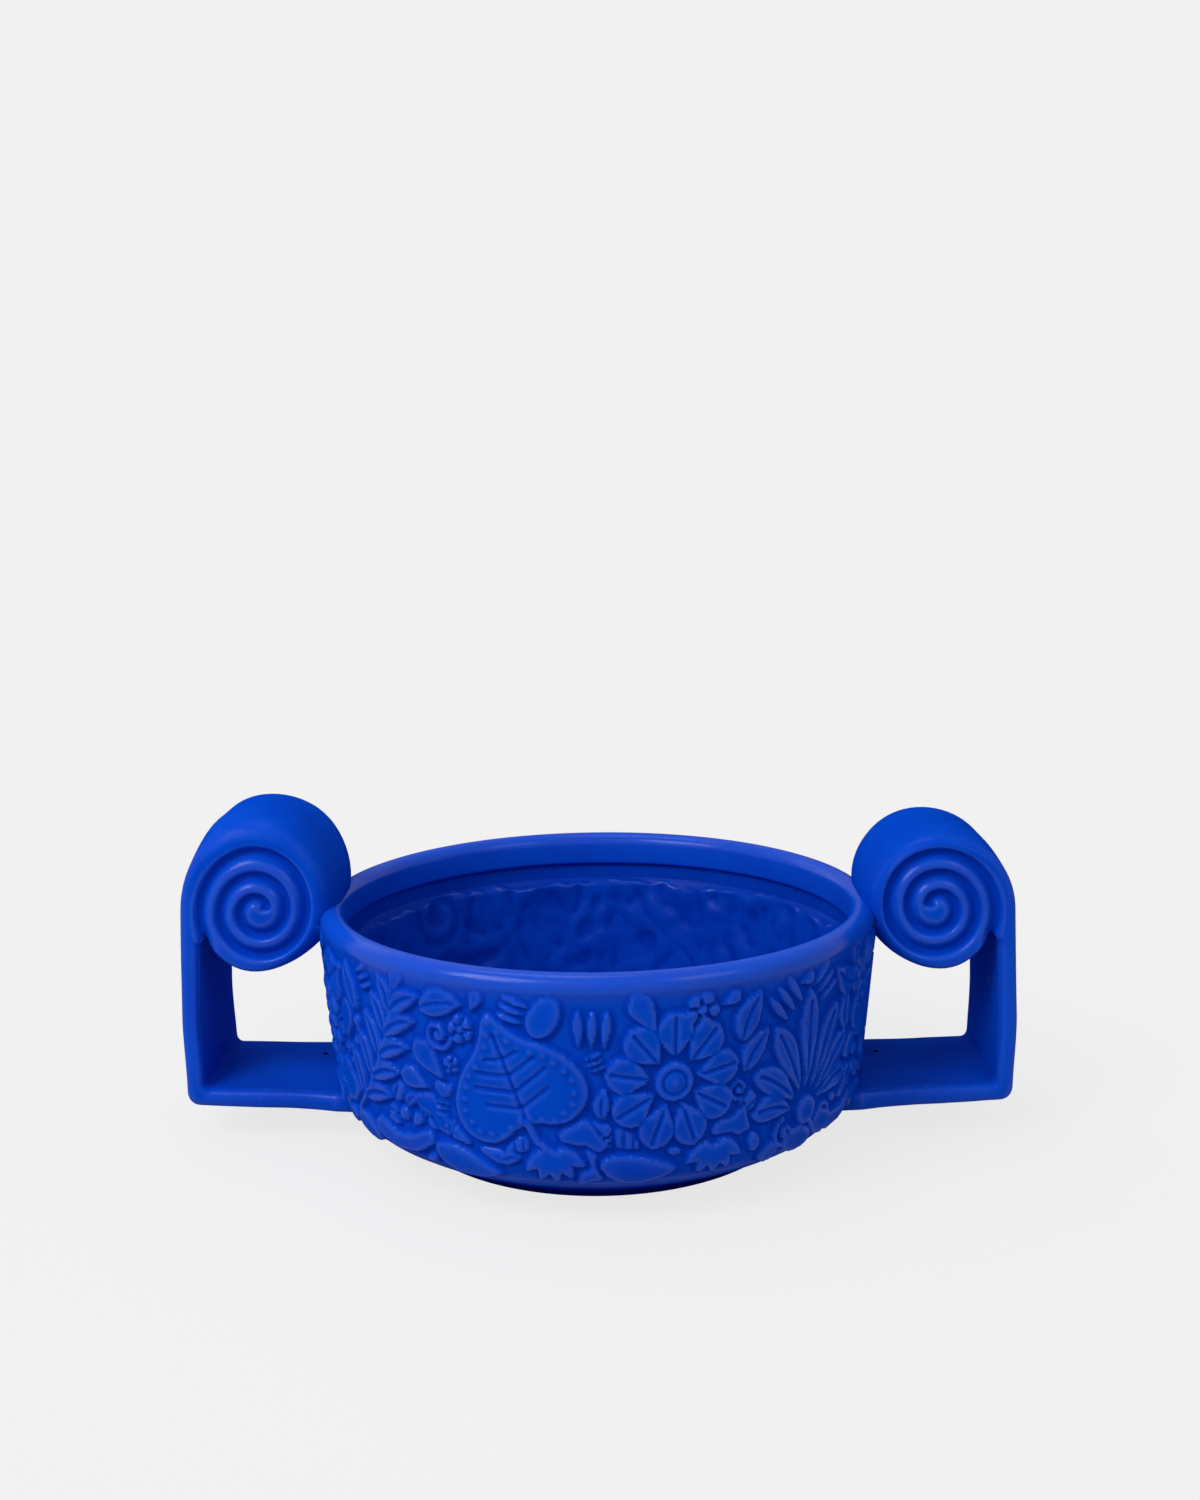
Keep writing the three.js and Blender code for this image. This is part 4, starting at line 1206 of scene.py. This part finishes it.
def vent_hole(obj, way):
    """Drills the pin-sized vent into the top of the arm."""
    bpy.ops.object.select_all(action="DESELECT")
    bpy.ops.mesh.primitive_cylinder_add(vertices=24, radius=VENT_RADIUS, depth=VENT_DEPTH,
                                        location=(*vent_place(way), VENT_HEIGHT))
    drill = bpy.context.active_object
    drill.name = "vent_drill"
    modified(obj, "Vent", "BOOLEAN", operation="DIFFERENCE", object=drill, solver="EXACT")
    bpy.data.objects.remove(drill, do_unlink=True)


def shade_vent(obj, way):
    """Marks the vent's inside with a value below the wear attribute's own range, which the slip paints near
    black as painted shade.
    """
    x, y = vent_place(way)
    co = points_of(obj)
    away = np.where(co[:, 2] < 40 * MM, np.hypot(co[:, 0] - x, co[:, 1] - y), np.inf)
    value = np.empty(len(co), dtype=np.float32)
    for name in ("wear", "ridge"):
        layer = obj.data.attributes[name]
        layer.data.foreach_get("value", value)
        calm = np.where(away < 5 * MM, 0.5, value)
        if name == "wear":
            calm = np.where(away < VENT_RADIUS + 0.1 * MM, -1, calm)
        layer.data.foreach_set("value", calm.astype(np.float32))


# Steps

# Camera: sensor and lens in millimetres, shift, and its distance and height in metres
SENSOR, LENS, SHIFT_X, SHIFT_Y = 36.0, 38.1, 0.005, -0.1812
CAMERA_DISTANCE, CAMERA_HEIGHT = 0.869, 0.347
# Each softbox: name, place, target, power as a share of the key light's, size
LAMPS = (
    ("key", (-0.95, -0.92, 1.2), (0.02, 0, 0.08), 1.0, 0.8),
    ("front", (-0.55, -1.2, 1.15), (0, 0, 0.06), 0.42, 1.0),
    ("right", (1.0, -0.95, 1.15), (0, 0, 0.1), 0.24, 0.7),
    ("top", (-0.3, 0.3, 1.9), (0, 0, 0.1), 0.36, 0.8),
    ("side", (-1.15, 1.05, 0.75), (0, 0, 0.1), 0.22, 1.1),
)
ROOM = (0.9, 0.95, 1.1, 1)
# How the paper looks in indirect light, and how strongly the vase's shadow shows on it
GREY = (0.5, 0.5, 0.5, 1)
SHADOW_SHARE, SHADOW_FROM, SHADOW_TO = 0.12, 0.5, 0.15


class VASE_OT_stage(Operator):
    """Sets up the camera, the plain backdrop, the floor and the soft studio light"""
    bl_idname = "vase.stage"
    bl_label = "Studio"

    def execute(self, context):
        s = context.scene.vase_stage
        data = bpy.data.cameras.new("camera")
        camera = bpy.data.objects.new("camera", data)
        context.collection.objects.link(camera)
        data.sensor_width = SENSOR
        data.lens, data.shift_x, data.shift_y = LENS, SHIFT_X, SHIFT_Y
        turn = math.radians(s.view_turn)
        camera.location = (CAMERA_DISTANCE * math.sin(turn), -CAMERA_DISTANCE * math.cos(turn),
                           CAMERA_HEIGHT)
        camera.rotation_euler = (math.radians(90), math.radians(s.view_roll), turn)
        context.scene.camera = camera
        context.scene.view_settings.view_transform = "Standard"
        white = (s.paper, s.paper, s.paper, 1)
        self.floor(white)
        for lamp in LAMPS:
            self.light(s.key, *lamp)
        bpy.data.objects["front"].visible_glossy = False
        context.scene.world = bpy.data.worlds.new("room")
        context.scene.world.use_nodes = True
        g = Graph(context.scene.world.node_tree)
        room = g.add("ShaderNodeBackground", Strength=s.fill, Color=ROOM).outputs["Background"]
        paper = g.add("ShaderNodeBackground", Strength=1.0, Color=white).outputs["Background"]
        g.add("ShaderNodeOutputWorld", Surface=g.mix_shader(self.seen_directly(g), room, paper))
        return {"FINISHED"}

    def light(self, key, name, place, target, share, size):
        data = bpy.data.lights.new(name, "AREA")
        data.energy = key * share
        data.size = size
        lamp = bpy.data.objects.new(name, data)
        bpy.context.collection.objects.link(lamp)
        lamp.location = place
        way = np.array(target) - np.array(place)
        yaw = math.atan2(way[1], way[0]) - math.pi / 2
        lamp.rotation_euler = (math.acos(-way[2] / np.linalg.norm(way)), 0, yaw)

    def seen_directly(self, g):
        """1 where the camera looks, also by way of a glossy or clear surface."""
        path = g.add("ShaderNodeLightPath").outputs
        seen = g.maths("MAXIMUM", path["Is Camera Ray"], path["Is Glossy Ray"])
        return g.maths("MAXIMUM", seen, path["Is Transmission Ray"])

    def floor(self, white):
        """Plain pale paper wherever it is seen, with the vase's own soft shadow near it."""
        bpy.ops.object.select_all(action="DESELECT")
        bpy.ops.mesh.primitive_plane_add(size=8.0, location=(0, 0, 0))
        floor = bpy.context.active_object
        floor.name = "paper_floor"
        material, g = new_material("paper")
        plain = g.add("ShaderNodeBsdfDiffuse", Color=GREY).outputs["BSDF"]
        glow = g.add("ShaderNodeEmission", Color=white, Strength=1.0).outputs["Emission"]
        shade = g.add("ShaderNodeBsdfDiffuse", Color=white).outputs["BSDF"]
        place = g.add("ShaderNodeTexCoord").outputs["Object"]
        away = g.add("ShaderNodeVectorMath", operation="LENGTH", Vector=place).outputs["Value"]
        near = g.ramp(away, SHADOW_FROM, SHADOW_TO, 0.0, SHADOW_SHARE)
        seen = g.mix_shader(near, glow, shade)
        g.add("ShaderNodeOutputMaterial", Surface=g.mix_shader(self.seen_directly(g), plain, seen))
        floor.data.materials.append(material)


class VASE_OT_wall(Operator):
    """Spins the wall with its rolled rim and models the frieze on it"""
    bl_idname = "vase.wall"
    bl_label = "Wall and frieze"

    def execute(self, context):
        b = bowl()
        line, along = wall_line()
        canvas, low, high = modelled_canvas(line, along)
        wall = spun(bowl_section(), "bowl_frieze_wall", b.turns)
        co = points_of(wall)
        u, v, out, facing = relief_on(co, canvas, line, along)
        slide = facing & (v > low) & (v < high - 1.5)
        u[slide], v[slide] = canvas.snapped(u[slide], v[slide], reach=0.52, outward=0.3)
        turn = u[slide] / canvas.around * TAU - math.pi / 2
        spread = np.interp(v[slide] * MM, along, line[:, 0])
        co[slide] = np.stack([spread * np.cos(turn), spread * np.sin(turn),
                              np.interp(v[slide] * MM, along, line[:, 1])], axis=1)
        lift = canvas.sample(canvas.height, u, v) * frieze().relief / PAD
        lift *= smoothstep(low - 2.5, low - 1, v) * smoothstep(high + 1, high - 1, v) * facing
        r = np.hypot(co[:, 0], co[:, 1])
        # Near the top no motif stands out past the rim
        under_rim = np.minimum(lift, b.rim_radius + 0.1 * MM - r)
        lift = np.where(v > high - 30, under_rim, lift)
        radial = co[:, :2] / r[:, None]
        co[:, :2] += radial * (out[:, 0] * lift)[:, None]
        co[:, 2] += out[:, 1] * lift
        # Uneven as a hand-made wall is, and drawn in by as much so that it stays inside the CAD's box
        co[:, :2] -= radial * (0.00015 + wobble(co, 0.05, 0.00012))[:, None]
        move_points(wall, co)
        # The wall's slip takes the painted shade under the heel at full strength
        slipped(wall, "wall_slip", 0.5, 1.0, dust=0.03, wear=0.12, grain=0.00007,
                polished=(0.105, 0.1155), pooled=1.0)
        on_part(wall, "bowl_wall", "rim_band")
        return {"FINISHED"}


class VASE_OT_lining(Operator):
    """Spins the cast inside: a recess under the rim, the frieze's soft hollows, and the floor"""
    bl_idname = "vase.lining"
    bl_label = "Lining"

    def execute(self, context):
        b = bowl()
        line, along = wall_line()
        canvas, _, _ = modelled_canvas(line, along)
        top = wall_top()[1] - 1.2 * MM
        recess = top - 10.5 * MM
        section, dish = self.section(b, top, recess)
        obj = spun(section, "bowl_lining", 480)
        co = points_of(obj)
        r, z = np.hypot(co[:, 0], co[:, 1]), co[:, 2]
        u = canvas.around_at(co)
        push = self.hollows(canvas, u, np.interp(z, line[:, 1], along) / MM) + self.lumps(u, z / MM)
        # The hollows start at a ragged ledge under the smooth recess and end where the floor turns flat
        edge = recess - 1.5 * MM + MM * (1.6 * np.sin(u / 17.0) + 1.1 * np.sin(u / 6.1 + 2)
                                         + 0.7 * np.sin(u / 2.9 + 1.5 * np.sin(u / 11.0)))
        push *= smoothstep(0.5 * MM, -0.5 * MM, z - edge) * smoothstep(13 * MM, 22 * MM, z)
        push *= smoothstep(dish * 0.96, dish * 1.08, r)
        push = 2.4 * MM * np.tanh(push / (2.4 * MM))
        co[:, :2] += co[:, :2] / np.maximum(r, 1e-6)[:, None] * push[:, None]
        upper = z > b.foot_height + b.floor_thickness - MM
        co[:, 2] += wobble(co, 0.03, 0.0005) * smoothstep(dish, dish * 0.8, r) * upper
        move_points(obj, co)
        # The lining is a darker copy of the slip, painted shade for the inside of the bowl
        slipped(obj, "lining_slip", 0.8, 1.5, dust=0.05, wear=0.1, darker=(1, 0.7, 0.76), rougher=-0.04,
                gloss=0.05, polish=0.4)
        on_part(obj, "bowl_floor")
        return {"FINISHED"}

    def section(self, b, top, recess):
        """The lining's closed section, and the radius at which the floor turns flat."""
        inner = b.rim_radius - b.rim_thickness
        floor_top = b.foot_height + b.floor_thickness
        heel_x, heel_z = heel_corner()

        def wall_at(z):
            taper = b.wall_taper / (wall_top()[1] - heel_z)
            return heel_x + (z - heel_z) * taper - b.wall_thickness, z

        corner = wall_at(22.5 * MM)
        dish = (corner[0] - (corner[1] - floor_top) / under_slope(), floor_top)
        ledge = wall_at(recess - 9 * MM)
        upper = [(inner + 3.6 * MM, top), (inner + 3.4 * MM, recess + MM), (inner + 2.4 * MM, recess),
                 wall_at(recess - 3 * MM), ledge]
        lower = [ledge] + arc(ledge, corner, dish, 15 * MM, 8)
        lower += arc(corner, dish, (0, floor_top), 20 * MM, 4) + [(20 * MM, floor_top), (0, floor_top)]
        visible = resampled(upper, 0.8 * MM)[:-1] + resampled(lower, 1.9 * MM)
        visible[-1] = (0, floor_top)
        back = 3.3 * MM
        hidden = [(0, floor_top - back), (dish[0], floor_top - back),
                  (corner[0] + back, corner[1] - back), (wall_at(recess)[0] + back, recess),
                  (inner + 6.4 * MM, recess), (inner + 6.4 * MM, top)]
        return visible + hidden, dish[0]

    def hollows(self, canvas, u, v):
        """The frieze as it shows inside, softened by the cast wall, in metres."""
        soft = canvas.blurred(canvas.height, frieze().inside_blur / MM)
        return (canvas.sample(soft, u, v) * MM - 1.5 * MM) * frieze().inside_share

    def lumps(self, u, v):
        """Soft finger-sized lumps over the unrolled inside, in metres."""
        field = np.zeros(len(u))
        for size, amount, k in ((13.0, 0.8, 0), (7.2, 0.9, 3), (4.1, 0.55, 7), (2.3, 0.2, 11)):
            bend = 0.9 * np.sin(v / size * 0.8 + 2 * k) + 0.9 * np.sin(u / size * 0.53 + k)
            for turn in (0.3, 1.35, 2.4):
                across = (u * math.cos(turn + k) + v * 1.2 * math.sin(turn + k)) / size
                field += amount * np.sin(across + bend + 1.7 * k + 5 * turn) / 3
        return 1.3 * MM * field - 0.9 * MM


class VASE_OT_foot(Operator):
    """Spins the smooth underside, the low foot ring and the recess inside it"""
    bl_idname = "vase.foot"
    bl_label = "Foot"

    def execute(self, context):
        b = bowl()
        edge_x, edge_z = under_edge()
        outer, lift = b.foot_radius, b.foot_height
        inner = outer - 15 * MM
        far = edge_x + 20 * MM
        top = edge_z + 1.2 * MM
        outline = [(0, lift), (inner - 3 * MM, lift), (inner - 0.6 * MM, lift - 0.6 * MM),
                   (inner, lift * 0.4), (inner + 0.8 * MM, 0.0), (outer - 1.2 * MM, 0.0),
                   (outer, 0.9 * MM), (outer, lift * 0.7), (edge_x + 0.6 * MM, edge_z + 0.1 * MM)]
        outline += [(x, edge_z + (x - edge_x) * under_slope())
                    for x in np.linspace(edge_x + 3 * MM, far, 6)]
        outline += [(far, top + (far - edge_x) * under_slope()), (edge_x, top), (inner, lift + 2 * MM),
                    (0, lift + 2 * MM)]
        obj = spun(outline, "bowl_foot", 240)
        # The foot is a much darker copy of the slip, painted shade for the underside
        slipped(obj, "foot_slip", 0.8, 1.5, dust=0.05, wear=0.05, darker=(0.3, 0.23, 0.5), rougher=0.1,
                gloss=-0.03)
        on_part(obj, "foot_ring", slot="foot_slip")
        return {"FINISHED"}


class VASE_OT_handles(Operator):
    """Rolls both strap handles, cuts the grooves between their coils and lutes them on"""
    bl_idname = "vase.handles"
    bl_label = "Scroll handles"

    def execute(self, context):
        line, _ = wall_line()
        half = grip().strap_width / 2
        for side, (way, *_) in SIDES.items():
            obj = handle_blank(side)
            co = seated(flared(leaning(points_of(obj))), line)
            face = smoothstep(half - 9 * MM, half - 5 * MM, np.abs(co[:, 1]))
            co[:, 1] -= np.sign(co[:, 1]) * scroll_depth(co, side) * face
            move_points(obj, co)
            co = fillet_to_bowl(points_of(obj), points_of(obj, "normal"), line)
            co += points_of(obj, "normal") * wobble(co + way * 0.3, 0.03, 0.0003)[:, None]
            co[:, 0] = np.minimum(co[:, 0], cad_corner("right_handle", 1, 0))
            if way < 0:
                co[:, :2] = -co[:, :2]
            move_points(obj, co)
            modified(obj, "Relax", "SMOOTH", factor=0.5, iterations=1)
            vent_hole(obj, way)
            bpy.ops.object.shade_smooth()
            slipped(obj, f"{side}_slip", 0.35, 1.1, dust=0.04, wear=0.22)
            shade_vent(obj, way)
            on_part(obj, f"{side}_handle", f"{side}_scroll_wad")
        return {"FINISHED"}


class VASE_PT_panel(Panel):
    """Lists the steps that dress the vase, and their settings"""
    bl_idname = "VASE_PT_panel"
    bl_label = "Bowl Vase"
    bl_space_type = "VIEW_3D"
    bl_region_type = "UI"
    bl_category = "Vase"

    def draw(self, context):
        for step in STEPS:
            self.layout.operator(step.bl_idname)
        for group in SETTINGS:
            box = self.layout.box()
            settings = getattr(context.scene, group)
            for name in settings.__annotations__:
                box.prop(settings, name)


SETTINGS = {
    "vase_bowl": BowlSettings, "vase_frieze": FriezeSettings, "vase_handle": HandleSettings,
    "vase_slip": SlipSettings, "vase_stage": StageSettings,
}
STEPS = (VASE_OT_stage, VASE_OT_wall, VASE_OT_lining, VASE_OT_foot, VASE_OT_handles)


def register():
    for cls in (*SETTINGS.values(), *STEPS, VASE_PT_panel):
        bpy.utils.register_class(cls)
    for name, cls in SETTINGS.items():
        setattr(bpy.types.Scene, name, PointerProperty(type=cls))


def unregister():
    for name in SETTINGS:
        delattr(bpy.types.Scene, name)
    for cls in reversed((*SETTINGS.values(), *STEPS, VASE_PT_panel)):
        bpy.utils.unregister_class(cls)


def main():
    register()
    bpy.ops.vase.stage()
    bpy.ops.vase.wall()
    bpy.ops.vase.lining()
    bpy.ops.vase.foot()
    bpy.ops.vase.handles()


if __name__ == "__main__":
    main()
